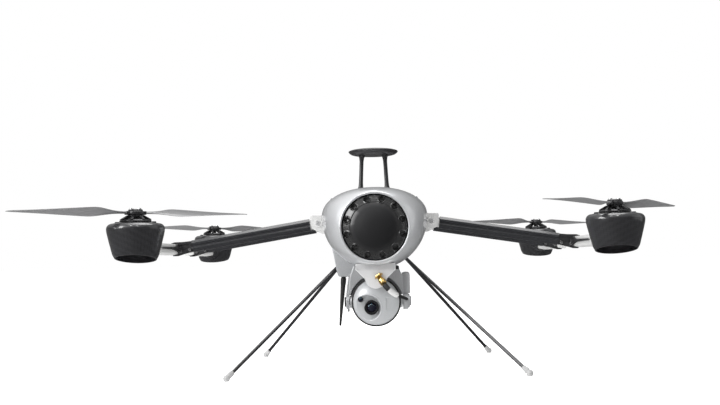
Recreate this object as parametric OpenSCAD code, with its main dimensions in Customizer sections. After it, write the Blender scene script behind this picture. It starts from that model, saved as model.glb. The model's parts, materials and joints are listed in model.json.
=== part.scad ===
// Folding quadcopter with a nose battery, a tilting camera ball and plug-in legs.
// Millimetres. Origin on the ground under the middle of the aircraft, +Z up, nose towards -Y.
// +X is the aircraft's own left side.

/* [Body] */
// Half of the body's greatest width
body_half_w = 68; // [66:0.5:69]
// Height of the widest part of the body
waist_z = 196; // [195:0.5:197]
// Height of the crown
crown_z = 233; // [232:0.5:235]
// Height of the flat belly
belly_z = 132.5; // [131:0.5:133]
// Lip of the nose opening, along Y
nose_y = -146; // [-148:0.5:-145]
// Joint between the body shells and the tail cover, along Y
tail_y = 126; // [122:0.5:128]
// Shell wall thickness
skin = 2.2; // [1.8:0.1:2.6]

/* [Battery] */
// Radius of the twist cap at the nose
cap_r = 39.6; // [39:0.1:39.8]
// Height of the battery axis
battery_z = 179.5; // [179:0.5:180]
// Radius of the battery pack
battery_r = 33.7; // [32:0.1:33.7]
// Length of the battery pack
battery_len = 194; // [180:1:196]

/* [Arms] */
// Fore-and-aft distance of each arm from the middle
arm_y = 59; // [56:0.5:62]
// Fold axis, distance from the middle plane
hinge_x = 72; // [71:0.5:72]
// Fold axis height
hinge_z = 188.5; // [188:0.5:189]
// Downward slope of the arms, degrees
arm_slope = 9.13; // [8.5:0.01:9.5]
// Depth of the arm tube
tube_w = 16; // [15:0.5:17]
// Height of the arm tube
tube_h = 15; // [14:0.5:15.5]
// Distance along the arm from the fold axis to the boom
arm_reach = 190.4; // [189:0.1:191]
// Height of the boom section
boom_h = 13.5; // [13:0.1:13.6]
// Width of the boom section
boom_w = 13; // [12.5:0.1:13.2]

/* [Motor pods] */
// Side-to-side distance of each motor from the middle
motor_x = 259; // [258:0.5:260]
// Fore-and-aft distance of each motor from the middle
motor_y = 270; // [266:0.5:274]
// Height of the pod's top
pod_top_z = 185; // [184.5:0.1:185.2]
// Height of the pod's lowest lip
pod_low_z = 141.5; // [141:0.5:142]
// Greatest radius of the pod
pod_r = 31.25; // [31:0.05:31.5]
// Radius of the pod's lower opening
pod_mouth_r = 22.35; // [22:0.05:23]
// Slant of the lower opening, degrees
mouth_slant = 11.5; // [10:0.1:12]

/* [Propellers] */
// Propeller radius
prop_r = 140; // [130:1:140]
// Height of the blade plane
prop_z = 196; // [195.8:0.1:196.2]
// Widest blade chord
blade_chord = 25; // [22:0.5:27]
// Resting angle of the front-left and rear-right blades, degrees from +X
blade_angle_a = 48; // [0:1:90]
// Resting angle of the front-right and rear-left blades, degrees from +X
blade_angle_b = 38; // [0:1:90]

/* [Camera ball] */
// Tilt axis, along Y
ball_y = -95; // [-96:0.5:-94]
// Tilt axis height
ball_z = 88.5; // [88:0.5:89]
// Ball radius
ball_r = 30.4; // [29.5:0.1:30.6]

/* [Legs] */
// Front feet, distance from the middle plane
front_foot_x = 179; // [175:1:183]
// Front feet, along Y
front_foot_y = 158; // [154:1:162]
// Rear feet, distance from the middle plane
rear_foot_x = 165; // [161:1:169]
// Rear feet, along Y
rear_foot_y = 149; // [145:1:153]
// Leg rod radius
leg_r = 2.2; // [2:0.05:2.4]

/* [Satellite antenna] */
// Radius of the disc
gps_r = 33.2; // [32:0.1:34]
// Underside of the disc
gps_z = 281; // [278:0.5:284]
// Thickness of the disc
gps_h = 8.5; // [8:0.1:9]

/* [Hidden] */
$fn = 48;
// name, side along X, side along Y
CORNERS = [
    ["front_left", 1, -1],
    ["front_right", -1, -1],
    ["rear_left", 1, 1],
    ["rear_right", -1, 1]
];
ARM_PIECES = [
    "arm_tube", "arm_fork", "fork_screws", "boom",
    "pod_shell", "motor_base", "rotor_bell", "propeller"
];
CENTRE_PIECES = [
    "upper_shell", "lower_shell", "front_cowl", "rear_cover",
    "center_frame", "battery_sleeve", "main_board", "arm_collars",
    "hinge_pins", "gps_struts", "gps_antenna", "antenna_housing",
    "neck_plate", "gimbal_yoke", "tilt_motor", "gimbal_connector",
    "gimbal_cable", "shell_screws", "leg_rods", "leg_feet",
    "battery_pack", "battery_cap", "whip_antenna", "latch_button",
    "ball_front_shell", "ball_rear_shell", "ball_gasket", "camera_lenses"
];

slack = 0.3;
fit = 0.05;
split_z = hinge_z;
cowl_y = -112;
straight_y = 50;
mouth_r = cap_r + 3.9;
tail_len = 96;
silver = "silver";
carbon = [0.09, 0.09, 0.1];
white = [0.9, 0.9, 0.9];

// ---------- helpers ----------

// Puts a piece drawn in the +X +Y quarter at one corner
module corner(c) {
    mirror([c[1] < 0 ? 1 : 0, 0, 0])
        mirror([0, c[2] < 0 ? 1 : 0, 0])
            children();
}

// Both sides of the middle plane
module both_sides() {
    children();
    mirror([1, 0, 0]) children();
}

// Turns +Z towards b and moves the origin to a
module along(a, b) {
    d = b - a;
    translate(a)
        rotate([0, acos(d[2] / norm(d)), atan2(d[1], d[0])])
            children();
}

// A solid of revolution about a line along Y
module turned_on_y(centre) {
    translate(centre)
        rotate([90, 0, 0])
            rotate_extrude($fn = 96)
                children();
}

// Closed solid through rings with equal numbers of points
module loft(rings) {
    n = len(rings[0]);
    last = (len(rings) - 1) * n;
    polyhedron(
        points = [for (ring = rings) each ring],
        faces = concat(
            [[for (i = [n - 1:-1:0]) i]],
            [for (k = [0:n:last - n]) for (i = [0:n - 1]) let (j = (i + 1) % n)
                each [[k + i, k + j, k + n + j], [k + i, k + n + j, k + n + i]]],
            [[for (i = [0:n - 1]) last + i]]
        )
    );
}

function power_of(v, p) = sign(v) * pow(abs(v), p);
function unit(v) = v / norm(v);
function mix(a, b, t) = a + (b - a) * t;

// ---------- body surface ----------

// Body section: a flattened crown over a round belly with a flat underside
function shield_point(a, inset) =
    let (s = sin(a), top = s > 0, w = body_half_w - inset)
    [
        w * power_of(cos(a), top ? 0.91 : 1),
        top
            ? waist_z + (crown_z - waist_z - inset) * power_of(s, 0.91)
            : max(belly_z + inset, waist_z + w * s)
    ];

function nose_circle_point(a, inset) =
    [(mouth_r - inset) * cos(a), battery_z + (mouth_r - inset) * sin(a)];

// 0 on the straight part of the body, 1 at the lip of the nose
function nose_blend(y) =
    let (u = 0.95 * max(0, -straight_y - y) / (-straight_y - nose_y))
    (1 - sqrt(1 - u * u)) / (1 - sqrt(1 - 0.95 * 0.95));

// 1 on the straight part, falling to a rounded tail
function tail_scale(y) =
    let (u = max(0, y - straight_y - 10) / tail_len)
    sqrt(1 - pow(min(0.99, u), 2.4));

tail_centre_z = 188;
function body_point(a, y, inset) =
    let (
        p = mix(shield_point(a, inset), nose_circle_point(a, inset), min(1, nose_blend(y))),
        s = tail_scale(y)
    )
    [p[0] * s, y, tail_centre_z + (p[1] - tail_centre_z) * s];

function body_ring(y, inset, shift = 0) =
    [for (a = [0:7.5:359]) body_point(a, y, inset) + [0, shift, 0]];

nose_stations = [for (d = [0, 2.5, 6, 10.5, 16, 23, 28]) nose_y + d];
main_stations = [cowl_y, -100, -86, -70, -straight_y, 0, 60, 76, 92, 106, 117, tail_y];
tail_stations = [for (d = [0, 8, 15, 21, 25, 27.6]) tail_y + d];

module body_solid(stations, inset = 0) {
    loft([for (y = stations) body_ring(y, inset)]);
}

// The same solid, run on a little past both ends so that it cuts cleanly
module body_cavity(stations) {
    last = len(stations) - 1;
    loft(concat(
        [body_ring(stations[0], skin, -1)],
        [for (y = stations) body_ring(y, skin)],
        [body_ring(stations[last], skin, 1)]
    ));
}

module body_skin(stations) {
    difference() {
        body_solid(stations);
        body_cavity(stations);
    }
}

module slab(low_z, high_z) {
    translate([-200, -200, low_z]) cube([400, 400, high_z - low_z]);
}

// Windows in the shells where the arm collars come out
collar_w = 20;
collar_h = 20;
module collar_windows() {
    for (side = [-1, 1])
        translate([-90, side * arm_y - collar_w / 2 - 0.2, hinge_z - collar_h / 2 - 0.2])
            cube([180, collar_w + 0.4, collar_h + 0.4]);
}

// Slots under the collars, where the folded arm's catch goes in
module catch_slots() {
    for (side = [-1, 1])
        translate([-90, side * arm_y - 2.5, 164])
            cube([180, 5, 11]);
}

screw_angle = 39;
screw_ys = [-34, 34];
module at_shell_screws() {
    both_sides()
        for (y = screw_ys) {
            p = body_point(screw_angle, y, 0);
            translate(p) rotate([0, 35, 0]) children();
        }
}

// ---------- legs ----------

function leg_root(c) = [c[1] * 49, c[2] * 25, belly_z + 0.5];
foot_ball_r = 4.2;
foot_sink = 0.8;
function foot_centre(c) = [
    c[1] * (c[2] < 0 ? front_foot_x : rear_foot_x),
    c[2] * (c[2] < 0 ? front_foot_y : rear_foot_y),
    foot_ball_r - foot_sink
];
// Top of the rod, inside the body
leg_plug = 20;
function leg_top(c) = leg_root(c) - leg_plug * unit(foot_centre(c) - leg_root(c));
function leg_len(c) = norm(foot_centre(c) - leg_top(c));

module leg_rods() {
    color(carbon)
        for (c = CORNERS)
            along(leg_top(c), foot_centre(c))
                cylinder(r = leg_r, h = leg_len(c) - 3);
}

module leg_feet() {
    color(white)
        for (c = CORNERS)
            difference() {
                union() {
                    translate(foot_centre(c)) sphere(r = foot_ball_r);
                    along(foot_centre(c), leg_top(c)) cylinder(r1 = 3.9, r2 = 3.1, h = 11);
                    translate([foot_centre(c)[0], foot_centre(c)[1], 0]) cylinder(r = foot_ball_r, h = 3);
                }
                slab(-20, 0);
                along(leg_top(c), foot_centre(c)) cylinder(r = leg_r + fit, h = leg_len(c) - 2.9);
            }
}

// ---------- body pieces ----------

module upper_shell() {
    color(silver)
        difference() {
            body_skin(main_stations);
            slab(0, split_z);
            collar_windows();
            at_shell_screws() cylinder(r = 1.3, h = 12, center = true);
            both_sides() strut_axis() cylinder(r = 2.4, h = 12, center = true);
        }
}

module lower_shell() {
    socket_r = 4.6;
    color(silver)
        difference() {
            union() {
                body_skin(main_stations);
                for (c = CORNERS)
                    along(leg_top(c), foot_centre(c))
                        translate([0, 0, 4]) cylinder(r = socket_r, h = leg_plug - 1);
            }
            slab(split_z, 300);
            collar_windows();
            catch_slots();
            for (c = CORNERS)
                along(leg_top(c), foot_centre(c)) cylinder(r = leg_r + fit, h = 60);
        }
}

module front_cowl() {
    color(silver) {
        body_skin(concat(nose_stations, [cowl_y]));
        turned_on_y([0, nose_y + 6, battery_z])
            translate([cap_r + 0.6, 0]) square([1.6, 6]);
    }
}

module rear_cover() {
    color(silver)
        difference() {
            body_solid(tail_stations);
            loft(concat(
                [body_ring(tail_y, skin, -1)],
                [for (d = [0, 8, 15, 21]) body_ring(tail_y + d, skin)],
                [body_ring(tail_y + 23, skin + 4)]
            ));
        }
}

frame_t = 7;
sleeve_r = 37;
module center_frame() {
    color(carbon)
        for (side = [-1, 1])
            difference() {
                intersection() {
                    body_solid([-70, -50, 0, 60, 76], skin + 0.1);
                    translate([-80, side * arm_y - frame_t / 2, 120]) cube([160, frame_t, 120]);
                }
                turned_on_y([0, side * arm_y + 10, battery_z]) square([sleeve_r + 0.1, 20]);
                both_sides()
                    translate([59.9, side * arm_y - 15, hinge_z - collar_h / 2 - 0.1])
                        cube([20, 30, collar_h + 0.2]);
                for (c = CORNERS)
                    along(leg_top(c), foot_centre(c)) cylinder(r = 4.9, h = 40);
            }
}

// Tube that the battery slides in, with a plate and power socket at its far end
sleeve_front_y = -138.4;
sleeve_back_y = 64;
module battery_sleeve() {
    color("dimgray") {
        turned_on_y([0, sleeve_back_y, battery_z])
            translate([battery_r + slack, 0])
                square([sleeve_r - battery_r - slack, sleeve_back_y - sleeve_front_y]);
        turned_on_y([0, sleeve_back_y, battery_z]) square([battery_r + slack, 4]);
        translate([-11, sleeve_back_y, battery_z - 8]) cube([22, 12, 16]);
    }
}

// Flight controller board with its parts, on four posts above the sleeve
board_z = 220;
module main_board() {
    color("darkgreen") {
        translate([-27, -48, board_z]) cube([54, 96, 1.6]);
        for (y = [-30, 6]) translate([-10, y, board_z + 1.6]) cube([18, 20, 2.4]);
        translate([12, -36, board_z + 1.6]) cube([10, 14, 5]);
        difference() {
            for (x = [-23, 23]) for (y = [-44, 44])
                translate([x, y, board_z - 10]) cylinder(r = 2.2, h = 10);
            turned_on_y([0, 60, battery_z]) square([sleeve_r + fit, 120]);
        }
    }
}

// ---------- arm hinges ----------

pin_r = 3;
tongue_w = 10;
module arm_collars() {
    color(white)
        for (c = CORNERS)
            corner(c)
                difference() {
                    translate([0, arm_y + collar_w / 2, 0]) rotate([90, 0, 0])
                        linear_extrude(collar_w)
                            union() {
                                translate([60, hinge_z - collar_h / 2])
                                    square([hinge_x - 60, collar_h]);
                                translate([hinge_x, hinge_z]) circle(r = collar_h / 2, $fn = 64);
                            }
                    // slot for the arm's tongue
                    translate([hinge_x - 9.2, arm_y - tongue_w / 2 - slack, hinge_z - 20])
                        cube([40, tongue_w + 2 * slack, 40]);
                    translate([hinge_x, arm_y, hinge_z]) rotate([90, 0, 0])
                        cylinder(r = pin_r + fit, h = 40, center = true);
                }
}

module hinge_pins() {
    color("gray")
        for (c = CORNERS)
            corner(c)
                translate([hinge_x, arm_y, hinge_z]) rotate([90, 0, 0])
                    cylinder(r = pin_r, h = collar_w + 1.6, center = true);
}

// ---------- arms ----------

// Arm coordinates: origin on the fold axis, x along the arm, y fore and aft, z across it
module on_arm(c) {
    corner(c)
        translate([hinge_x, arm_y, hinge_z])
            rotate([0, arm_slope, 0])
                children();
}

tube_start = 11;
tube_end = 165;
tongue_r = 8;
bevel = 3.4;

module tube_outline(shrink = 0) {
    w = tube_w / 2 - shrink;
    h = tube_h / 2 - shrink;
    b = bevel - shrink / 2;
    polygon([
        [h - b, w], [h, w - b], [h, b - w], [h - b, -w],
        [b - h, -w], [-h, b - w], [-h, w - b], [b - h, w]
    ]);
}

module arm_tube(c) {
    color(carbon)
        on_arm(c)
            difference() {
                union() {
                    translate([tube_start, 0, 0]) rotate([0, 90, 0])
                        linear_extrude(tube_end - tube_start) tube_outline();
                    rotate([90, 0, 0])
                        cylinder(r = tongue_r, h = tongue_w, center = true);
                    translate([0, -tongue_w / 2, -6]) cube([tube_start + 1, tongue_w, 12]);
                }
                translate([tube_start + 9, 0, 0]) rotate([0, 90, 0])
                    linear_extrude(tube_end) tube_outline(1.6);
                rotate([90, 0, 0]) cylinder(r = pin_r + fit, h = 40, center = true);
            }
}

// Root of the fork inside the tube, two prongs round the boom and a long tapered rib beside it
fork_screw_xs = [tube_end + 3, tube_end + 13.9];
fork_screw_z = -4.2;
fork_w = 14;
spear_tip_y = 108;
module arm_fork(c) {
    face_x = arm_reach - boom_w / 2 - 0.1;
    prong_in = boom_h / 2 + 0.1;
    color(carbon)
        on_arm(c)
            difference() {
                union() {
                    translate([tube_end - 14, 0, 0]) rotate([0, 90, 0])
                        linear_extrude(14.1) tube_outline(1.7);
                    rotate([90, 0, 0])
                        linear_extrude(fork_w, center = true)
                            polygon([
                                [tube_end + 0.1, -6.7], [tube_end + 0.1, 6.7],
                                [face_x - 8, 7.4], [arm_reach - 4, 8.9], [arm_reach + 0.5, 8.2],
                                [arm_reach + 0.5, prong_in], [face_x, prong_in],
                                [face_x, -prong_in], [arm_reach + 0.5, -prong_in],
                                [arm_reach + 0.5, -8.2], [arm_reach - 4, -8.9], [face_x - 8, -7.4]
                            ]);
                    translate([face_x - 2.2, 0, 0]) rotate([90, 0, 90])
                        linear_extrude(2.2)
                            polygon([[0, -6.2], [fork_w / 2, -6.2], [22, -2.4], [spear_tip_y, -0.5],
                                     [spear_tip_y, 0.5], [22, 2.4], [fork_w / 2, 6.2], [0, 6.2]]);
                }
                for (x = fork_screw_xs)
                    translate([x, 0, fork_screw_z]) rotate([90, 0, 0])
                        cylinder(r = 1.35, h = 40, center = true);
            }
}

module fork_screws(c) {
    color("gray")
        on_arm(c)
            for (x = fork_screw_xs)
                translate([x, 0, fork_screw_z]) rotate([-90, 0, 0]) {
                    translate([0, 0, -fork_w / 2]) cylinder(r = 1.3, h = fork_w);
                    difference() {
                        translate([0, 0, fork_w / 2]) cylinder(r = 2.3, h = 1.5);
                        translate([0, 0, fork_w / 2 + 0.6]) cylinder(r = 1.1, h = 3, $fn = 6);
                    }
                }
}

module boom_outline(shrink = 0) {
    intersection() {
        square([boom_w - 2 * shrink, boom_h - 2 * shrink], center = true);
        circle(r = boom_h * 0.6 - shrink, $fn = 64);
    }
}

boom_centre = [
    hinge_x + arm_reach * cos(arm_slope),
    0,
    hinge_z - arm_reach * sin(arm_slope)
];
boom_root_y = arm_y - 8;
boom_end_y = motor_y - 27.2;

// Runs children's outline along +Y from one place to another at the boom's axis
module run_boom(from_y, to_y) {
    translate([boom_centre[0], to_y, boom_centre[2]])
        rotate([90, 0, 0])
            linear_extrude(to_y - from_y)
                rotate(-arm_slope)
                    children();
}

module boom(c) {
    color(white)
        corner(c)
            difference() {
                run_boom(boom_root_y, boom_end_y) boom_outline();
                run_boom(boom_root_y + 18, boom_end_y + 1) boom_outline(1.6);
            }
}

// ---------- motor pods ----------

pod_wall = 1.6;
shoulder_r = 6;
motor_hole_r = 12.6;

// The outline runs on below the lowest lip, so that the slanted cut trims it all the way round
wall_lean = 0.242;
module pod_outline(inset) {
    centre_r = pod_r - shoulder_r;
    r = shoulder_r - inset;
    centre_z = pod_top_z - shoulder_r;
    drop = inset > 0 ? 2 : 1;
    low_r = pod_mouth_r - inset - drop * wall_lean;
    polygon(concat(
        [[0, pod_low_z - drop], [low_r, pod_low_z - drop]],
        [for (a = [-14:8:90]) [centre_r + r * cos(a), centre_z + r * sin(a)]],
        [[0, pod_top_z - inset]]
    ));
}

module at_motor() {
    translate([motor_x, motor_y, 0]) children();
}

module pod_shell(c) {
    color(carbon)
        corner(c)
            difference() {
                union() {
                    at_motor() rotate_extrude($fn = 96) pod_outline(0);
                    run_boom(boom_end_y - 20, boom_end_y + 6) circle(r = 9.6, $fn = 48);
                }
                at_motor() rotate_extrude($fn = 96) pod_outline(pod_wall);
                run_boom(boom_end_y - 30, boom_end_y) boom_outline(-0.1);
                run_boom(boom_end_y - 1, boom_end_y + 9) circle(r = 3.5);
                // slanted opening: the lip rises away from the body
                at_motor() translate([0, -pod_mouth_r, pod_low_z]) rotate([mouth_slant, 0, 0])
                    translate([-60, -40, -40]) cube([120, 140, 40]);
                at_motor() cylinder(r = motor_hole_r, h = 400);
                at_pod_bolts(160) cylinder(r = 1.35, h = 60);
            }
}

// Four bolts that hold the motor under the pod's top
pod_bolt_r = 20.1;
module at_pod_bolts(z) {
    at_motor()
        for (a = [0:90:270])
            rotate(a) translate([pod_bolt_r, 0, z]) children();
}

shaft_r = 2;
module motor_base(c) {
    under = pod_top_z - pod_wall;
    color("dimgray")
        corner(c) {
            difference() {
                at_motor() union() {
                    translate([0, 0, under - 3]) cylinder(r = 22, h = 3);
                    translate([0, 0, under - 24]) cylinder(r = 8.4, h = 24);
                    for (a = [0:40:320])
                        rotate(a) translate([7.6, -1.4, under - 20]) cube([9.6, 2.8, 14]);
                    translate([0, 0, under - 14]) cylinder(r = 14, h = 2.5);
                    translate([0, 0, under - 0.1]) cylinder(r = 12.2, h = 1.5);
                }
                at_motor() cylinder(r = shaft_r + fit, h = 400);
                at_pod_bolts(160) cylinder(r = 1.35, h = 60);
            }
            at_pod_bolts(under - 3) {
                cylinder(r = 1.3, h = 3 + pod_wall);
                translate([0, 0, 3 + pod_wall]) cylinder(r = 2.4, h = 1.5);
            }
        }
}

// Spoked cone that turns with the shaft, and the clamp and screws above the propeller
hub_r = 9;
hub_low_z = prop_z - 2.6;
hub_top_z = prop_z + 2.3;
bell_r = 17.2;
bell_low_z = pod_top_z + 0.9;
module rotor_bell(c) {
    spokes = 8;
    color(carbon)
        corner(c)
            at_motor() {
                difference() {
                    translate([0, 0, bell_low_z]) cylinder(r1 = bell_r, r2 = bell_r - 1.6, h = 2.2);
                    translate([0, 0, bell_low_z - 1]) cylinder(r = bell_r - 3.4, h = 5);
                }
                for (a = [0:360 / spokes:359])
                    rotate(a) rotate([90, 0, 0])
                        linear_extrude(2.2, center = true)
                            polygon([
                                [bell_r - 3.6, bell_low_z], [bell_r - 0.9, bell_low_z + 1],
                                [hub_r - 0.3, hub_low_z], [4, hub_low_z],
                                [4, hub_low_z - 2], [hub_r - 2, hub_low_z - 2.2]
                            ]);
                translate([0, 0, hub_low_z - 2.4]) cylinder(r = hub_r - 0.6, h = 2.4);
                translate([0, 0, 165]) cylinder(r = shaft_r, h = hub_low_z - 165);
                translate([0, 0, hub_top_z]) cylinder(r1 = 7.6, r2 = 6.9, h = 1.6);
                for (side = [-1, 1])
                    translate([side * 3.9, 0, hub_top_z + 1.6]) cylinder(r = 1.9, h = 1.3);
            }
}

// Blade shape at a radius, as a share r of the whole: chord, thickness and pitch
function ease(t) = let (u = min(1, max(0, t))) u * u * (3 - 2 * u);
function blade_width(r) =
    blade_chord * (r < 0.36
        ? mix(0.3, 1, ease((r - 0.09) / 0.27))
        : mix(1, 0.3, pow((r - 0.36) / 0.64, 1.25)));
function blade_thickness(r) = mix(3.4, 0.9, pow(r, 0.7));
function blade_pitch(r) =
    r < 0.34 ? mix(8, 23, ease(r / 0.34)) : mix(23, 6, pow((r - 0.34) / 0.66, 0.8));

blade_shares = [0.05, 0.09, 0.13, 0.18, 0.24, 0.3, 0.36, 0.45, 0.56, 0.68, 0.8, 0.9, 0.96, 0.992];
function blade_ring(r) =
    let (
        tip = r > 0.95 ? 0.62 : 1,
        w = (r > 0.985 ? 0.5 : 1) * tip * blade_width(r) / 2,
        t = blade_thickness(r) / 2,
        p = blade_pitch(r)
    )
    [for (a = [0:30:359])
        let (y = w * cos(a) + 0.12 * w, z = t * power_of(sin(a), 1) + 0.06 * w * (1 - cos(a) * cos(a)))
        [r * prop_r, y * cos(p) - z * sin(p), y * sin(p) + z]];

// Seen from the tip, a ring has to run the other way round from a body ring
function reversed(list) = [for (i = [len(list) - 1:-1:0]) list[i]];

module blade() {
    loft([for (r = blade_shares) reversed(blade_ring(r))]);
}

module propeller(c) {
    hand = c[1] * c[2];
    angle = hand < 0 ? blade_angle_a : blade_angle_b;
    color([0.35, 0.35, 0.36])
        translate([c[1] * motor_x, c[2] * motor_y, prop_z])
            rotate(angle)
                mirror([0, hand < 0 ? 1 : 0, 0]) {
                    for (turn = [0, 180]) rotate(turn) blade();
                    translate([0, 0, hub_low_z - prop_z])
                        cylinder(r = hub_r, h = hub_top_z - hub_low_z);
                }
}

// ---------- satellite antenna ----------

strut_foot = [18, 0, crown_z - 3];
strut_head = [15.5, 0, gps_z];
module strut_axis() {
    along(strut_foot, strut_head) children();
}

module gps_struts() {
    strut_len = norm(strut_head - strut_foot);
    color(carbon)
        both_sides()
            strut_axis() {
                cylinder(r = 2.2, h = strut_len - 0.2);
                translate([0, 0, 2.9]) cylinder(r1 = 4.6, r2 = 2.3, h = 7);
                translate([0, 0, strut_len - 7]) cylinder(r1 = 2.3, r2 = 4.4, h = 6.2);
            }
}

module gps_antenna() {
    color(carbon)
        translate([0, 0, gps_z])
            rotate_extrude($fn = 96)
                polygon([
                    [0, 0], [gps_r - 6, 0], [gps_r - 1.2, 2.2], [gps_r, 4], [gps_r, 5.2],
                    [gps_r - 1, 6.6], [gps_r - 4, 7.6], [gps_r - 12, 8.3], [0, gps_h]
                ]);
}

// ---------- whip antenna ----------

whip_pivot = [-41, -57, 122];
whip_tip = [-46.8, -57, 56];
module antenna_housing() {
    color(silver)
        difference() {
            translate([0, -38, 0]) rotate([90, 0, 0])
                linear_extrude(40)
                    polygon([[-56, 166], [-53, 148], [-49.5, 126], [-47.4, 120.5],
                             [-45.4, 119.5], [-27, 119.5], [-24, 122], [-22, 140], [-22, 166]]);
            body_solid(main_stations);
            // pocket for the antenna's head
            translate(whip_pivot + [-4.4, -5, -22]) cube([8.2, 33, 26.5]);
            along(leg_root(CORNERS[1]), foot_centre(CORNERS[1])) cylinder(r = 5.2, h = 60, center = true);
        }
    color("gray")
        translate(whip_pivot - [5, 0, 0]) rotate([0, 90, 0]) cylinder(r = 1.4, h = 10);
}

module whip_antenna() {
    color(carbon)
        difference() {
            union() {
                translate(whip_pivot - [3.4, 0, 0]) rotate([0, 90, 0]) cylinder(r = 3.6, h = 6.8);
                along(whip_pivot, whip_tip) {
                    translate([0, 0, 2]) cylinder(r = 2.6, h = 6);
                    translate([0, 0, 5]) cylinder(r1 = 3.3, r2 = 3.1, h = 9);
                    translate([0, 0, 14]) cylinder(r1 = 2.9, r2 = 1.3, h = 51.5);
                }
            }
            translate(whip_pivot - [9, 0, 0]) rotate([0, 90, 0]) cylinder(r = 1.4 + fit, h = 18);
        }
}

// ---------- camera mount ----------

neck_y = -133;
neck_t = 5;
neck_top_w = 48.6;
neck_low_w = 26.5;
neck_low_z = 105.4;
button_w = 4.4;
button_z = 130.4;
module neck_plate() {
    r = neck_low_w / 2;
    color(silver)
        difference() {
            union() {
                translate([0, neck_y + neck_t, 0]) rotate([90, 0, 0])
                    linear_extrude(neck_t)
                        union() {
                            translate([0, neck_low_z + r]) circle(r = r, $fn = 64);
                            polygon([[-r, neck_low_z + r], [r, neck_low_z + r],
                                     [neck_top_w / 2, 128], [neck_top_w / 2, 139],
                                     [-neck_top_w / 2, 139], [-neck_top_w / 2, 128]]);
                        }
                translate([-neck_top_w / 2, neck_y, 126.5]) cube([neck_top_w, 18, 12]);
            }
            body_solid(concat(nose_stations, [cowl_y, -100, -86]));
            // pocket for the release button
            translate([19, neck_y + 2, button_z - button_w / 2 - slack])
                cube([10, 5 + 2 * slack, button_w + 2 * slack]);
        }
}

module latch_button() {
    color(carbon)
        translate([22, neck_y + 2 + slack, button_z - button_w / 2])
            cube([6.3, 5, button_w]);
}

// Left arm, bridge and right arm in one bent bracket
trunnion_r = 4;
yoke_in = 35;
yoke_out = 37.4;
motor_in = 33.4;
motor_out = 41.6;
module gimbal_yoke() {
    color(silver)
        difference() {
            union() {
                translate([-yoke_out, ball_y - 9, 121.5]) cube([yoke_out + motor_out, 18, 4.6]);
                translate([0, ball_y, 125]) cylinder(r = 12, h = 14);
                translate([-yoke_out, ball_y - 7, ball_z]) cube([4, 14, 36]);
                translate([-yoke_out, ball_y, ball_z]) rotate([0, 90, 0])
                    cylinder(r = 9.4, h = 4, $fn = 64);
                translate([motor_in - 0.6, ball_y - 8, 99.2]) cube([9.4, 16, 25.6]);
            }
            body_solid(main_stations);
            translate([-60, ball_y, ball_z]) rotate([0, 90, 0])
                cylinder(r = trunnion_r + fit, h = 60);
        }
}

module tilt_motor() {
    color(carbon)
        difference() {
            translate([motor_in, ball_y, ball_z]) rotate([0, 90, 0]) {
                cylinder(r = 10.4, h = motor_out - motor_in - 2, $fn = 64);
                cylinder(r = 8.6, h = motor_out - motor_in, $fn = 64);
                cylinder(r = 5.7, h = motor_out - motor_in + 2, $fn = 64);
            }
            translate([motor_in - 1, ball_y, ball_z]) rotate([0, 90, 0])
                cylinder(r = trunnion_r + fit, h = 5);
        }
}

// ---------- gimbal cable ----------

plug_start = [3, -132.9, 121];
plug_end = [10.5, -139.5, 110];
module gimbal_connector() {
    color("gold")
        difference() {
            along(plug_start, plug_end) {
                translate([0, 0, -3]) cylinder(r = 3.1, h = 6);
                translate([0, 0, 2]) cylinder(r = 4.4, h = 5.4, $fn = 6);
                translate([0, 0, 7.4]) cylinder(r = 3.9, h = 6.4);
            }
            translate([-50, neck_y, 60]) cube([100, 30, 100]);
        }
}

// x, y, z and radius along the cable from its plug to the tilt motor
cable_route = [
    [10.6, -139.6, 109.8, 2.8],
    [13, -141, 106.6, 2.7],
    [16, -141.5, 103.6, 3.1],
    [19.5, -140.5, 100.8, 3.1],
    [23, -138, 98.4, 3],
    [26.5, -134, 96.4, 2.9],
    [29.5, -129, 95, 1.9],
    [32, -123.5, 94, 1.9],
    [34.3, -117.5, 93, 1.9],
    [36.3, -111.5, 92, 1.9],
    [37.6, -105.6, 91.2, 1.9]
];
module gimbal_cable() {
    n = len(cable_route);
    places = [for (p = cable_route) [p[0], p[1], p[2]]];
    heading = [for (i = [0:n - 1]) unit(places[min(n - 1, i + 1)] - places[max(0, i - 1)])];
    color(carbon)
        loft([for (i = [0:n - 1])
            let (
                side = unit(cross(heading[i], [0, 0, 1])),
                up = cross(side, heading[i]),
                r = cable_route[i][3]
            )
            [for (a = [0:36:359]) places[i] + r * cos(a) * side + r * sin(a) * up]]);
}

module shell_screws() {
    color("gray")
        at_shell_screws() {
            translate([0, 0, -5]) cylinder(r = 1.2, h = 5);
            difference() {
                cylinder(r1 = 3, r2 = 2.2, h = 1.7);
                translate([0, 0, 0.8]) cylinder(r = 1.1, h = 2, $fn = 6);
            }
        }
}

// ---------- battery ----------

pack_front_y = -138.6;
spigot_r = 8;
module battery_pack() {
    color([0.2, 0.2, 0.22])
        difference() {
            turned_on_y([0, pack_front_y + battery_len, battery_z])
                polygon([
                    [0, 0], [battery_r - 2, 0], [battery_r, 2],
                    [battery_r, battery_len], [0, battery_len]
                ]);
            turned_on_y([0, pack_front_y + 6.5, battery_z]) square([spigot_r + fit, 10]);
        }
}

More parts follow.
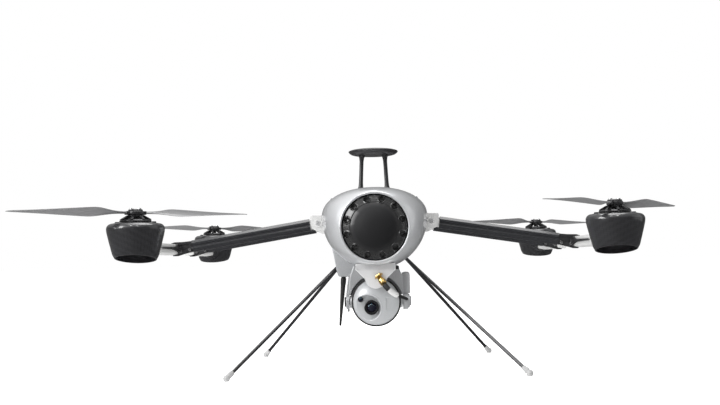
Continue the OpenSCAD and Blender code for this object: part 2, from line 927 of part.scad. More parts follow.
// Twist cap with finger scallops round a low dome
grips = 12;
module battery_cap() {
    color(carbon)
        difference() {
            turned_on_y([0, pack_front_y - slack, battery_z])
                polygon([
                    [0, 0], [cap_r, 0], [cap_r, 8], [cap_r - 1.4, 10.4], [cap_r - 4, 11.4],
                    [29.6, 11.4], [28.6, 10.4], [27.6, 10.4], [25.5, 13.4], [21, 16.4],
                    [14, 18.8], [7, 19.8], [0, 20]
                ]);
            for (a = [0:360 / grips:359])
                translate([0, pack_front_y, battery_z]) rotate([0, a, 0])
                    translate([35.4, -9, 0]) rotate([90, 0, 0]) cylinder(r = 3.6, h = 20);
        }
    color(carbon)
        turned_on_y([0, pack_front_y + 5.5, battery_z]) square([spigot_r, 7]);
}

// ---------- camera ball ----------

gasket_y = -8;
gasket_t = 2.6;
recess = [-8.8, -6.5];
main_lens = [-5.9, -6.5];
small_lens = [-18.4, 2.4];
front_depth = 17.5;

module on_ball() {
    translate([0, ball_y, ball_z]) children();
}

// Rounded rear of the ball, with the stub shafts of the tilt axis
boss_in = 27;
module ball_rear_shell() {
    rim_a = asin(-gasket_y / ball_r);
    turn = (rim_a + 90) / 16;
    color("lightgray")
        on_ball() {
            turned_on_y([0, 0, 0])
                polygon(concat(
                    [for (i = [0:16]) let (a = rim_a - i * turn) [ball_r * cos(a), ball_r * sin(a)]],
                    [for (i = [16:-1:0]) let (a = rim_a - i * turn)
                        [(ball_r - 2) * cos(a), i == 0 ? -gasket_y : (ball_r - 2) * sin(a)]]
                ));
            both_sides()
                translate([boss_in, 0, 0]) rotate([0, 90, 0])
                    cylinder(r = 7.4, h = motor_in - 0.5 - boss_in);
            translate([-38.4, 0, 0]) rotate([0, 90, 0])
                cylinder(r = trunnion_r, h = 38.4 - boss_in);
            translate([boss_in, 0, 0]) rotate([0, 90, 0])
                cylinder(r = trunnion_r, h = motor_in + 3 - boss_in);
            // camera board inside
            translate([-22, 0, -10]) cube([44, 2, 20]);
        }
}

module ball_gasket() {
    color("black")
        on_ball()
            turned_on_y([0, gasket_y - 0.02, 0])
                translate([26.4, 0]) square([4.2, gasket_t]);
}

function front_profile(r, depth, inset) =
    [for (a = [0:6:90]) [(r - inset) * cos(a), (depth - inset) * sin(a)]];

module ball_front_shell() {
    back_y = gasket_y - gasket_t - 0.04;
    color("lightgray")
        on_ball()
            difference() {
                turned_on_y([0, back_y, 0])
                    polygon(concat([[0, 0]], front_profile(28.6, front_depth, 0)));
                turned_on_y([0, back_y + 0.01, 0])
                    polygon(concat([[0, 0]], front_profile(28.6, front_depth, 2)));
                translate([recess[0], -20, recess[1]]) rotate([90, 0, 0])
                    cylinder(r = 14.6, h = 40, $fn = 64);
                translate([small_lens[0], -18, small_lens[1]]) rotate([90, 0, 0])
                    cylinder(r = 2.5, h = 20);
            }
    // stepped lens plate in the recess
    color("dimgray")
        on_ball()
            difference() {
                union() {
                    translate([recess[0], -19.6, recess[1]]) rotate([90, 0, 0])
                        cylinder(r = 15.2, h = 1.6, $fn = 64);
                    translate([main_lens[0], -19.6, main_lens[1]]) rotate([90, 0, 0])
                        cylinder(r = 9.4, h = 5.4, $fn = 64);
                    translate([small_lens[0], -19.6, small_lens[1]]) rotate([90, 0, 0])
                        cylinder(r = 3.6, h = 2.6);
                }
                translate([main_lens[0], -20.6, main_lens[1]]) rotate([90, 0, 0])
                    cylinder(r = 7.5, h = 20, $fn = 64);
                translate([small_lens[0], -20.6, small_lens[1]]) rotate([90, 0, 0])
                    cylinder(r = 2.5, h = 20);
            }
}

module camera_lenses() {
    color([0.1, 0.1, 0.2])
        on_ball() {
            turned_on_y([main_lens[0], -20.8, main_lens[1]])
                polygon([[0, 0], [7.4, 0], [7.4, 1.4], [4.5, 2.8], [0, 3.4]]);
            turned_on_y([small_lens[0], -20.7, small_lens[1]])
                polygon([[0, 0], [2.4, 0], [2.4, 0.9], [0, 1.3]]);
        }
}

// ---------- the assembly ----------

for (c = CORNERS) arm_tube(c);
for (c = CORNERS) arm_fork(c);
for (c = CORNERS) fork_screws(c);
for (c = CORNERS) boom(c);
for (c = CORNERS) pod_shell(c);
for (c = CORNERS) motor_base(c);
for (c = CORNERS) rotor_bell(c);
for (c = CORNERS) propeller(c);
upper_shell();
lower_shell();
front_cowl();
rear_cover();
center_frame();
battery_sleeve();
main_board();
arm_collars();
hinge_pins();
gps_struts();
gps_antenna();
antenna_housing();
neck_plate();
gimbal_yoke();
tilt_motor();
gimbal_connector();
gimbal_cable();
shell_screws();
leg_rods();
leg_feet();
battery_pack();
battery_cap();
whip_antenna();
latch_button();
ball_front_shell();
ball_rear_shell();
ball_gasket();
camera_lenses();
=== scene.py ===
"""Looks of the folding quadcopter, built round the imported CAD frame. Shapes are in millimetres."""
import json
import math

import bpy
from mathutils import Matrix, Vector


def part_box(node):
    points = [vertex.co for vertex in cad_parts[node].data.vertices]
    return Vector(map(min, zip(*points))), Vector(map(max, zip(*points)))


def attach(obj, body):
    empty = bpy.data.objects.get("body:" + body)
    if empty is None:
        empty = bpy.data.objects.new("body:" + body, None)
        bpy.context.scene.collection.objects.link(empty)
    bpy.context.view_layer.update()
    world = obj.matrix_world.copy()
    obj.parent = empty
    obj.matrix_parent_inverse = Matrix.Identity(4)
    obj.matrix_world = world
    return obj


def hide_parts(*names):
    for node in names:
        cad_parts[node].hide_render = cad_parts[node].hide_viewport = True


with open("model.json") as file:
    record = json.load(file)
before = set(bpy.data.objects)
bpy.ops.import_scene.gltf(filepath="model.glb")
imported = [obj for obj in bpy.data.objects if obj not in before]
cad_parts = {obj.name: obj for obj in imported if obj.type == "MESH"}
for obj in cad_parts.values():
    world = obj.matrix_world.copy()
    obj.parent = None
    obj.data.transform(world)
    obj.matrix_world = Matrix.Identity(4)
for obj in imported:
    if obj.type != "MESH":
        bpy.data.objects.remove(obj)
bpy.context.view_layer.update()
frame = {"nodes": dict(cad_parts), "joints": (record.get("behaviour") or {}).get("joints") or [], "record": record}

MM = 0.001
JOINTS = {j["name"]: j for j in frame["joints"]}
CORNERS = [("front_left", 1, -1), ("front_right", -1, -1), ("rear_left", 1, 1), ("rear_right", -1, 1)]
TAU = 2 * math.pi
# the radius that stands for a point on a lathe's axis
AXIS_R = 0.01


def joint_point(name):
    """A joint's place at rest, in millimetres."""
    return Vector(JOINTS[name]["pos_m"]) / MM


def span(node):
    """Lowest and highest corner of a CAD node, in millimetres."""
    low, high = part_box(node)
    return low / MM, high / MM


# ---------- small maths ----------

def mix(a, b, t):
    return a + (b - a) * t


def power_of(v, p):
    return math.copysign(abs(v) ** p, v)


def smooth(t):
    t = max(0.0, min(1.0, t))
    return t * t * (3 - 2 * t)


def arc(cx, cy, r, from_deg, to_deg, steps):
    """Points of a circular arc, both ends included."""
    angles = [math.radians(mix(from_deg, to_deg, i / steps)) for i in range(steps + 1)]
    return [(cx + r * math.cos(a), cy + r * math.sin(a)) for a in angles]


def circle(r, z, steps):
    """A ring of points round the Z axis."""
    return [(r * math.cos(TAU * i / steps), r * math.sin(TAU * i / steps), z) for i in range(steps)]


def move(x, y, z):
    return Matrix.Translation((x, y, z))


def turn(axis, degrees):
    return Matrix.Rotation(math.radians(degrees), 4, axis)


def along(a, b):
    """Moves the origin to a and turns +Z towards b."""
    a, b = Vector(a), Vector(b)
    return move(*a) @ (b - a).to_track_quat("Z", "Y").to_matrix().to_4x4()


def on_y(x, y, z):
    """Moves the origin to a place and turns +Z towards -Y, the nose."""
    return move(x, y, z) @ turn("X", 90)


def quarter(sx, sy):
    """Mirrors a piece drawn at +X +Y to another corner."""
    return Matrix.Diagonal((sx, sy, 1, 1))


# ---------- shapes ----------

class Shape:
    """Collects closed solids, with a length-true UV map, and makes one piece of them."""

    def __init__(self):
        self.verts = []
        self.faces = []
        self.uvs = []

    def add(self, verts, faces, uvs, matrix):
        first = len(self.verts)
        flip = matrix.determinant() < 0
        self.verts += [matrix @ Vector(v) for v in verts]
        for face, uv in zip(faces, uvs):
            order = slice(None, None, -1) if flip else slice(None)
            self.faces.append([first + i for i in face][order])
            self.uvs.append(list(uv)[order])
        return self

    def rings(self, rings, matrix=Matrix.Identity(4), caps=True, loop=False):
        """Skin through rings of equal length. loop joins the last ring to the first."""
        n, m = len(rings[0]), len(rings)
        verts = [p for ring in rings for p in ring]
        around = [0.0]
        for i in range(n):
            around.append(around[-1] + (Vector(rings[m // 2][(i + 1) % n]) - Vector(rings[m // 2][i])).length)
        down = [0.0]
        for k in range(m - 1 + loop):
            down.append(down[-1] + (Vector(rings[(k + 1) % m][0]) - Vector(rings[k][0])).length)
        faces, uvs = [], []
        for k in range(m - 1 + loop):
            for i in range(n):
                j, row, below = (i + 1) % n, k * n, ((k + 1) % m) * n
                faces.append((row + i, row + j, below + j, below + i))
                uvs.append(((around[i], down[k]), (around[i + 1], down[k]),
                            (around[i + 1], down[k + 1]), (around[i], down[k + 1])))
        if caps and not loop:
            for cap in (range(n - 1, -1, -1), range((m - 1) * n, m * n)):
                faces.append(tuple(cap))
                uvs.append([(verts[i][0], verts[i][1]) for i in cap])
        return self.add(verts, faces, uvs, matrix)

    def lathe(self, profile, matrix, steps, loop=False):
        """Turns (radius, height) points round +Z. An end on the axis closes in a point."""
        return self.rings([circle(max(r, AXIS_R), z, steps) for r, z in profile], matrix, True, loop)

    def prism(self, outline, depth, matrix=Matrix.Identity(4), from_z=0.0):
        """Extrudes an anticlockwise outline along +Z."""
        return self.rings([[(x, y, z) for x, y in outline] for z in (from_z, from_z + depth)], matrix)

    def block(self, low, high, matrix=Matrix.Identity(4)):
        (x0, y0, z0), (x1, y1, z1) = low, high
        return self.prism([(x0, y0), (x1, y0), (x1, y1), (x0, y1)], z1 - z0, matrix, z0)

    def tube(self, points, radii, sides):
        """A round bar through points, with its own radius at each."""
        rings, up = [], Vector((0, 0, 1))
        points = [Vector(p) for p in points]
        for i, p in enumerate(points):
            heading = (points[min(i + 1, len(points) - 1)] - points[max(i - 1, 0)]).normalized()
            side = heading.cross(up).normalized()
            over = side.cross(heading)
            rings.append([p + radii[i] * (math.cos(a) * side + math.sin(a) * over)
                          for a in (TAU * k / sides for k in range(sides))])
        return self.rings(rings)

    def make(self, name, material, body, slot, replaces=(), sharp=35, bevel=0.0, segments=2):
        """Makes a piece in metres that rides a body, with soft shading and a small edge bevel."""
        mesh = bpy.data.meshes.new(name)
        mesh.from_pydata([v * MM for v in self.verts], [], self.faces)
        layer = mesh.uv_layers.new(name="length")
        layer.data.foreach_set("uv", [c * MM for uv in self.uvs for corner in uv for c in corner])
        mesh.validate()
        piece = bpy.data.objects.new(name, mesh)
        bpy.context.scene.collection.objects.link(piece)
        mesh.polygons.foreach_set("use_smooth", [True] * len(mesh.polygons))
        mesh.set_sharp_from_angle(angle=math.radians(sharp))
        if bevel:
            edge = piece.modifiers.new("edge", "BEVEL")
            edge.width = bevel * MM
            edge.segments = segments
            edge.limit_method = "ANGLE"
            edge.angle_limit = math.radians(sharp)
            edge.harden_normals = True
        mesh.materials.append(material)
        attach(piece, body)
        if replaces:
            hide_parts(*replaces)
        return piece


# ---------- materials ----------

class Nodes:
    """A node tree, with short calls to build it."""

    def __init__(self, tree):
        self.tree = tree

    def node(self, kind, inputs=(), **settings):
        made = self.tree.nodes.new("ShaderNode" + kind)
        for key, value in settings.items():
            setattr(made, key, value)
        for key, value in dict(inputs).items():
            self.plug(made.inputs[key], value)
        return made

    def plug(self, socket, value):
        if isinstance(value, bpy.types.NodeSocket):
            self.tree.links.new(value, socket)
        else:
            socket.default_value = value

    def math(self, operation, a, b=0.0):
        return self.node("Math", {0: a, 1: b}, operation=operation).outputs[0]


class Surface(Nodes):
    """A material and its principled shader."""

    def __init__(self, name):
        self.material = bpy.data.materials.new(name)
        self.material.use_nodes = True
        super().__init__(self.material.node_tree)
        self.shader = self.tree.nodes["Principled BSDF"]
        self.coords = self.node("TexCoord")

    def set(self, **values):
        """Sets shader sockets: underscores in the names stand for spaces."""
        for key, value in values.items():
            self.plug(self.shader.inputs[key.replace("_", " ")], value)
        return self

    def noise(self, scale, detail=4, stretch=(1, 1, 1)):
        place = self.node("Mapping", {"Vector": self.coords.outputs["Object"], "Scale": stretch})
        return self.node("TexNoise", {"Vector": place.outputs[0], "Scale": scale, "Detail": detail,
                                      "Roughness": 0.6}).outputs["Fac"]

    def ramp(self, value, low, high, from_low=0.3, from_high=0.7):
        return self.node("MapRange", {"Value": value, "From Min": from_low, "From Max": from_high,
                                      "To Min": low, "To Max": high}).outputs[0]

    def blend(self, factor, a, b):
        made = self.node("Mix", data_type="RGBA")
        for key, value in (("Factor", factor), ("A", a), ("B", b)):
            self.plug(made.inputs[key], (*value, 1) if isinstance(value, tuple) else value)
        return made.outputs["Result"]

    def bump(self, height, strength, distance):
        made = self.node("Bump", {"Height": height, "Strength": strength, "Distance": distance * MM})
        self.set(Normal=made.outputs[0])
        return self


def grained(name, dark, light, roughness, grain, bump, depth, metallic=0.0, coat=0.0, stretch=(1, 1, 1),
            patch=14):
    """A plain finish: fine grain, slow patches of tone, and roughness that follows the fine grain."""
    s = Surface(name)
    fine = s.noise(grain, 3, stretch=stretch)
    slow = s.noise(patch, 3)
    both = s.math("ADD", s.math("MULTIPLY", fine, 0.5), s.math("MULTIPLY", slow, 0.5))
    s.set(Base_Color=s.blend(s.ramp(both, 0, 1), dark, light),
          Roughness=s.ramp(fine, roughness * 0.82, roughness * 1.18), Metallic=metallic,
          Coat_Weight=coat, Coat_Roughness=0.08)
    return s.bump(fine, bump, depth).material


def silver_paint():
    """Metallic paint: flakes under clear gloss, faint orange peel and slow patches of tone."""
    s = Surface("silver_paint")
    flakes = s.node("TexVoronoi", {"Vector": s.coords.outputs["Object"], "Scale": 1500}).outputs["Color"]
    spark = s.node("SeparateColor", {"Color": flakes}).outputs[0]
    peel = s.noise(260, 2)
    slow = s.noise(9, 2)
    tone = s.blend(s.ramp(spark, 0, 1, 0, 1), (0.60, 0.61, 0.625), (0.68, 0.69, 0.705))
    s.set(Base_Color=s.blend(s.ramp(slow, 0, 0.35), tone, (0.64, 0.645, 0.66)),
          Metallic=0.62, Roughness=s.ramp(spark, 0.28, 0.36, 0, 1),
          Coat_Weight=0.7, Coat_Roughness=0.05)
    return s.bump(peel, 0.02, 0.2).material


def carbon_weave(name, pitch, gloss, dark, light):
    """Twill cloth in clear resin. The two thread directions take turns along the diagonal."""
    s = Surface(name)
    where = s.node("SeparateXYZ", {"Vector": s.coords.outputs["UV"]})
    u = s.math("MULTIPLY", where.outputs[0], 1 / (pitch * MM))
    v = s.math("MULTIPLY", where.outputs[1], 1 / (pitch * MM))
    column = s.math("FLOOR", u)
    row = s.math("FLOOR", v)
    over = s.math("LESS_THAN", s.math("FLOORED_MODULO", s.math("ADD", column, row), 4.0), 2.0)
    across_u = s.math("SINE", s.math("MULTIPLY", s.math("FRACT", u), math.pi))
    across_v = s.math("SINE", s.math("MULTIPLY", s.math("FRACT", v), math.pi))
    thread = s.node("Mix", {"Factor": over, "A": across_u, "B": across_v}).outputs["Result"]
    tone = s.math("ADD", s.math("MULTIPLY", thread, 0.55), s.math("MULTIPLY", over, 0.35))
    slow = s.noise(30, 3)
    s.set(Base_Color=s.blend(s.math("MULTIPLY", tone, s.ramp(slow, 0.7, 1.0)), dark, light),
          Roughness=s.ramp(thread, 0.42, 0.30, 0, 1),
          Coat_Weight=gloss, Coat_Roughness=0.06)
    return s.bump(thread, 0.10, 0.12).material


def lens_coating():
    """Dark glass under a thin violet and green film."""
    s = Surface("lens_coating")
    slow = s.noise(60)
    s.set(Base_Color=s.blend(slow, (0.006, 0.006, 0.010), (0.012, 0.010, 0.018)),
          Roughness=s.ramp(slow, 0.02, 0.05), Coat_Weight=1.0, Coat_Roughness=0.01,
          Thin_Film_Thickness=360.0, Thin_Film_IOR=1.38)
    return s.material


def cap_plastic():
    """Black plastic: the dome is matt, and the grip ring round it is glossy."""
    s = Surface("cap_black")
    fine = s.noise(900, 3)
    place = s.node("Mapping", {"Vector": s.coords.outputs["Object"],
                               "Location": (0, 0, -joint_point("cap_turn").z * MM), "Scale": (1, 0, 1)})
    away = s.node("VectorMath", {0: place.outputs[0]}, operation="LENGTH").outputs["Value"]
    ring = s.ramp(away, 0.0, 1.0, 0.024, 0.033)
    s.set(Base_Color=s.blend(s.math("MULTIPLY", ring, s.ramp(fine, 0.5, 1.0)), (0.007, 0.007, 0.008),
                             (0.024, 0.024, 0.024)),
          Roughness=s.math("SUBTRACT", s.ramp(fine, 0.58, 0.66), s.math("MULTIPLY", ring, 0.34)),
          Specular_IOR_Level=0.3, Coat_Weight=s.math("MULTIPLY", ring, 0.7), Coat_Roughness=0.1)
    return s.bump(fine, 0.12, 0.1).material


def circuit_green():
    """Solder mask over copper tracks."""
    s = Surface("circuit_green")
    tracks = s.node("TexBrick", {"Vector": s.coords.outputs["Object"], "Scale": 260.0, "Mortar Size": 0.03,
                                 "Color1": (0.012, 0.09, 0.035, 1), "Color2": (0.014, 0.11, 0.045, 1),
                                 "Mortar": (0.05, 0.22, 0.08, 1)})
    s.set(Base_Color=tracks.outputs["Color"], Roughness=s.ramp(s.noise(400), 0.25, 0.4), Coat_Weight=0.5)
    return s.material


PAINT = silver_paint()
GREY = grained("light_grey_paint", (0.40, 0.41, 0.42), (0.48, 0.49, 0.50), 0.36, 700, 0.05, 0.1, 0.25, 0.25)
YOKE = grained("yoke_silver", (0.36, 0.365, 0.375), (0.45, 0.455, 0.465), 0.34, 800, 0.06, 0.1, 0.45, 0.3)
NECK = grained("neck_paint", (0.50, 0.50, 0.505), (0.58, 0.58, 0.585), 0.36, 700, 0.05, 0.1, 0.2, 0.3)
WHITE = grained("white_plastic", (0.43, 0.43, 0.425), (0.50, 0.50, 0.495), 0.38, 600, 0.06, 0.12)
POD = carbon_weave("pod_carbon", 2.0, 0.9, (0.009, 0.009, 0.010), (0.022, 0.022, 0.025))
TUBE = carbon_weave("tube_carbon", 1.5, 0.5, (0.010, 0.010, 0.012), (0.026, 0.027, 0.030))
ROD = carbon_weave("rod_carbon", 1.2, 0.4, (0.008, 0.008, 0.009), (0.020, 0.020, 0.022))
BLACK = grained("black_plastic", (0.010, 0.010, 0.011), (0.022, 0.022, 0.024), 0.40, 1100, 0.2, 0.12,
                coat=0.12)
CAP = cap_plastic()
ANODISED = grained("black_anodised", (0.012, 0.012, 0.013), (0.03, 0.03, 0.032), 0.30, 1400, 0.1, 0.06,
                   0.6, 0.2)
STEEL = grained("bright_steel", (0.50, 0.50, 0.51), (0.72, 0.72, 0.73), 0.22, 1200, 0.1, 0.05, 1.0,
                stretch=(1, 1, 6))
PINS = grained("pin_aluminium", (0.42, 0.42, 0.425), (0.52, 0.52, 0.525), 0.45, 900, 0.1, 0.05, 0.5)
COPPER = grained("copper_wire", (0.42, 0.16, 0.07), (0.62, 0.27, 0.12), 0.32, 1500, 0.3, 0.2, 1.0, 0.3)
MOTOR = grained("motor_metal", (0.16, 0.16, 0.165), (0.30, 0.30, 0.31), 0.36, 1200, 0.15, 0.08, 0.9)
GOLD = grained("gold_plate", (0.62, 0.38, 0.12), (0.85, 0.60, 0.24), 0.22, 1300, 0.1, 0.05, 1.0)
BLADE = grained("blade_grey", (0.115, 0.115, 0.118), (0.17, 0.17, 0.173), 0.34, 900, 0.10, 0.06, coat=0.25,
                patch=20)
RUBBER = grained("black_rubber", (0.008, 0.008, 0.008), (0.018, 0.018, 0.018), 0.6, 1000, 0.3, 0.15)
FOOT = grained("white_rubber", (0.26, 0.26, 0.26), (0.40, 0.40, 0.40), 0.5, 800, 0.2, 0.15)
WRAP = grained("battery_wrap", (0.03, 0.03, 0.035), (0.06, 0.06, 0.065), 0.3, 300, 0.2, 0.3, coat=0.4)
LENS = lens_coating()
BOARD = circuit_green()


# ---------- body ----------

HALF_W, WAIST_Z, CROWN_Z, BELLY_Z = 68.0, 196.0, 233.0, 132.5
NOSE_Y, STRAIGHT_Y, COWL_Y, TAIL_Y, TAIL_END_Y = -146.0, 50.0, -112.0, 126.0, 153.6
TAIL_LEN, TAIL_CENTRE_Z = 96.0, 188.0
CAP_R, MOUTH_R = 39.6, 43.5
BATTERY_Z = joint_point("cap_turn").z
SKIN = 2.2
BODY_STEPS = 120
SPLIT_Z = joint_point("front_left_arm_fold").z


def body_point(angle, y, inset=0.0):
    """The CAD body's surface: a flat crown over a round belly, round at the nose, closing at the tail."""
    c, s = math.cos(angle), math.sin(angle)
    w = HALF_W - inset
    if s > 0:
        shield = (w * power_of(c, 0.91), WAIST_Z + (CROWN_Z - WAIST_Z - inset) * s ** 0.91)
    else:
        shield = (w * c, max(BELLY_Z + inset, WAIST_Z + w * s))
    nose = ((MOUTH_R - inset) * c, BATTERY_Z + (MOUTH_R - inset) * s)
    u = 0.95 * max(0.0, -STRAIGHT_Y - y) / (-STRAIGHT_Y - NOSE_Y)
    t = min(1.0, (1 - math.sqrt(1 - u * u)) / (1 - math.sqrt(1 - 0.95 ** 2)))
    x, z = mix(shield[0], nose[0], t), mix(shield[1], nose[1], t)
    v = min(0.99, max(0.0, y - STRAIGHT_Y - 10) / TAIL_LEN)
    k = math.sqrt(1 - v ** 2.4)
    return x * k, y, TAIL_CENTRE_Z + (z - TAIL_CENTRE_Z) * k


def body_ring(y, inset=0.0):
    return [body_point(TAU * i / BODY_STEPS, y, inset) for i in range(BODY_STEPS)]


def body_stretch(from_y, to_y, rows, inset, ease=1.0):
    return [body_ring(mix(from_y, to_y, (i / rows) ** ease), inset) for i in range(rows + 1)]


def cut_away(piece, cutters):
    """Cuts boxes, given as corners in millimetres, out of a piece and keeps the result."""
    shape = Shape()
    for low, high in cutters:
        shape.block(low, high)
    mesh = bpy.data.meshes.new("cutter")
    mesh.from_pydata([Vector(v) * MM for v in shape.verts], [], shape.faces)
    tool = bpy.data.objects.new("cutter", mesh)
    bpy.context.scene.collection.objects.link(tool)
    step = piece.modifiers.new("cut", "BOOLEAN")
    step.object = tool
    step.operation = "DIFFERENCE"
    step.solver = "EXACT"
    bpy.context.view_layer.update()
    result = bpy.data.meshes.new_from_object(piece.evaluated_get(bpy.context.evaluated_depsgraph_get()))
    piece.modifiers.remove(step)
    piece.data = result
    bpy.data.objects.remove(tool)
    bpy.data.meshes.remove(mesh)


ARM_Y = abs(joint_point("front_left_arm_fold").y)
HINGE_X = joint_point("front_left_arm_fold").x
# larger than the body, to cut right through it
BIG = 400.0
# half the gap at the cowl and half the gap between the shells
COWL_GAP, SPLIT_GAP = 0.4, 0.25
WINDOW, SLOT, SLOT_LOW, SLOT_HIGH = 10.3, 2.5, 164, 175


def body_pieces():
    def holes_at_arms(half_width, low_z, high_z):
        return [((-BIG, s * ARM_Y - half_width, low_z), (BIG, s * ARM_Y + half_width, high_z))
                for s in (-1, 1)]

    windows = holes_at_arms(WINDOW, SPLIT_Z - WINDOW, SPLIT_Z + WINDOW)
    slots = holes_at_arms(SLOT, SLOT_LOW, SLOT_HIGH)
    halves = (("upper_shell", ((-BIG, -BIG, -BIG), (BIG, BIG, SPLIT_Z + SPLIT_GAP)), windows),
              ("lower_shell", ((-BIG, -BIG, SPLIT_Z - SPLIT_GAP), (BIG, BIG, BIG)), windows + slots))
    for node, waste, holes in halves:
        outer, inner = (body_stretch(COWL_Y + COWL_GAP, TAIL_Y - 0.3, 44, inset) for inset in (0, SKIN))
        shape = Shape().rings(outer + inner[::-1], caps=False, loop=True)
        piece = shape.make("body_" + node, PAINT, "root", "body_paint", [node])
        cut_away(piece, [waste])
        cut_away(piece, holes)
    nose = body_stretch(COWL_Y - COWL_GAP, NOSE_Y, 20, 0.0, 0.8)
    lip = [[(x, NOSE_Y + back, BATTERY_Z + z) for x, z, _ in circle(r, 0, BODY_STEPS)]
           for r, back in ((43.1, -0.7), (42.4, -1.0), (41.0, -0.9), (40.4, -0.3), (40.2, 6), (42.0, 8))]
    inner = body_stretch(COWL_Y - COWL_GAP, NOSE_Y + 9, 16, SKIN)[::-1]
    Shape().rings((nose + lip + inner)[::-1], caps=False, loop=True).make(
        "front_cowl_skin", PAINT, "root", "body_paint", ["front_cowl"], sharp=50)
    ys = [TAIL_Y + 0.3, 129, 132, 135, 138, 141, 143.5, 146, 148, 150, 151.5, 152.6, 153.2, TAIL_END_Y]
    outer = [body_ring(y) for y in ys]
    inner = [body_ring(y, SKIN) for y in ys[:8]]
    Shape().rings(inner[::-1] + outer, caps=True).make(
        "tail_cover_skin", PAINT, "root", "body_paint", ["rear_cover"], sharp=50)
    seams = Shape()
    for y in (COWL_Y, TAIL_Y):
        section = ((y - 2, 0.7), (y + 2, 0.7), (y + 2, 2.1), (y - 2, 2.1))
        seams.rings([body_ring(*point) for point in section], caps=False, loop=True)
    seams.make("body_seam_seals", RUBBER, "root", "seal")


SCREW_Y, SCREW_ANGLE, SCREW_TILT = 34, 39, 35


def shoulder_screws():
    heads = Shape()
    for side in (-1, 1):
        for y in (-SCREW_Y, SCREW_Y):
            x, _, z = body_point(math.radians(SCREW_ANGLE), y)
            out = quarter(side, 1) @ move(x, y, z) @ turn("Y", SCREW_TILT)
            heads.lathe([(0, -4), (1.2, -4), (1.2, 0), (3.2, 0), (3.2, 1.2), (2.7, 2.1), (1.9, 2.6),
                         (1.1, 2.65), (1.05, 1.6), (0, 1.5)], out, 32)
    heads.make("shoulder_screw_heads", STEEL, "root", "steel", ["shell_screws"])


# ---------- battery cap ----------

GRIPS, GRIP_AT, GRIP_R = 12, 34.6, 3.9
DOME_R, DOME_H, DOME_DROP, RING_DROP = 30.0, 19.6, 9.0, 4.6


def cap_height(r, angle):
    """Height of the cap's face above its back: a dome that runs out into a ring of round finger hollows."""
    if r < DOME_R:
        face = DOME_H - DOME_DROP * (r / DOME_R) ** 2.4
    else:
        face = DOME_H - DOME_DROP - RING_DROP * smooth((r - DOME_R) / 9.5)
    face += 0.5 * math.exp(-((r - DOME_R - 0.4) / 0.7) ** 2) - 2.8 * smooth((r - 38.3) / 1.3)
    a = (angle * GRIPS / TAU) % 1.0 - 0.5
    off = math.hypot(r - GRIP_AT, a * TAU / GRIPS * GRIP_AT)
    lip = 0.9 * math.exp(-((off - GRIP_R - 0.3) / 0.6) ** 2) * smooth((39.0 - r) / 1.2)
    return face + lip - 3.6 * smooth((GRIP_R + 0.1 - off) / 1.6)


def battery_cap():
    back = joint_point("cap_turn").y + 0.1
    steps = 360
    radii = [AXIS_R, *(2.0 * i for i in range(1, 14)), 27.2, *(28.2 + 0.6 * i for i in range(19)), CAP_R]
    rings = [[(x, y, cap_height(r, TAU * i / steps)) for i, (x, y, _) in enumerate(circle(r, 0, steps))]
             for r in radii]
    back_profile = ((CAP_R, 0.6), (CAP_R - 0.6, 0), (8, 0), (8, -5.4), (AXIS_R, -5.4))
    rim = [circle(r, z, steps) for r, z in back_profile]
    Shape().rings((rings + rim)[::-1], on_y(0, back, BATTERY_Z)).make(
        "battery_cap_grip", CAP, "battery_twist_cap", "black_plastic", ["battery_cap"], sharp=70)


def battery_pack():
    low, high = span("battery_pack")
    r, length = (high.x - low.x) / 2, high.y - low.y
    place = on_y(0, high.y, BATTERY_Z)
    ridged = [(0, 0), (r - 2, 0)]
    for i in range(25):
        ridged.append((r if i % 6 else r - 0.7, 2 + (length - 4) * i / 24))
    ridged += [(r - 2, length), (0, length)]
    Shape().lathe(ridged, place, 96).make("battery_wrap", WRAP, "battery", "battery_wrap", ["battery_pack"])


# ---------- arms ----------

ARM_SLOPE = 9.13
TUBE_START, TUBE_END, REACH = 11.0, 165.0, 190.4
TUBE_W, TUBE_H = 16.0, 15.0
BOOM_W, BOOM_H = 13.0, 13.5
FORK_W, SPEAR = 14.0, 108.0


def arm_place(sx, sy):
    """Arm coordinates: x along the arm from the fold axis, y fore and aft, z across."""
    return quarter(sx, sy) @ move(HINGE_X, ARM_Y, SPLIT_Z) @ turn("Y", ARM_SLOPE)


def tube_outline(shrink=0.0):
    """Eight-sided section with a shallow groove along each upright face."""
    w, h, b = TUBE_W / 2 - shrink, TUBE_H / 2 - shrink, 3.4 - shrink / 2
    right = [(w, -h + b), (w, -2.2), (w - 1.1, -1.4), (w - 1.1, 0.6), (w, 1.4), (w, h - b)]
    top = [(w - b, h), (-w + b, h)]
    left = [(-x, z) for x, z in reversed(right)]
    return right + top + left + [(-w + b, -h), (w - b, -h)]


# Prism outlines lie in (y, z), and run along the arm's x
ALONG_X = Matrix(((0, 0, 1, 0), (1, 0, 0, 0), (0, 1, 0, 0), (0, 0, 0, 1)))
# Prism outlines lie in (x, z), and run towards -y
ACROSS = turn("X", 90)


def rounded(points, r, steps=4):
    """Rounds an outline's corners."""
    out = []
    n = len(points)
    for i, p in enumerate(points):
        p = Vector(p)
        back, ahead = Vector(points[i - 1]) - p, Vector(points[(i + 1) % n]) - p
        reach = min(r, back.length * 0.45, ahead.length * 0.45)
        a, b = p + back.normalized() * reach, p + ahead.normalized() * reach
        for k in range(steps + 1):
            t = k / steps
            q = a * (1 - t) ** 2 + p * 2 * t * (1 - t) + b * t * t
            out.append((q.x, q.y))
    return out


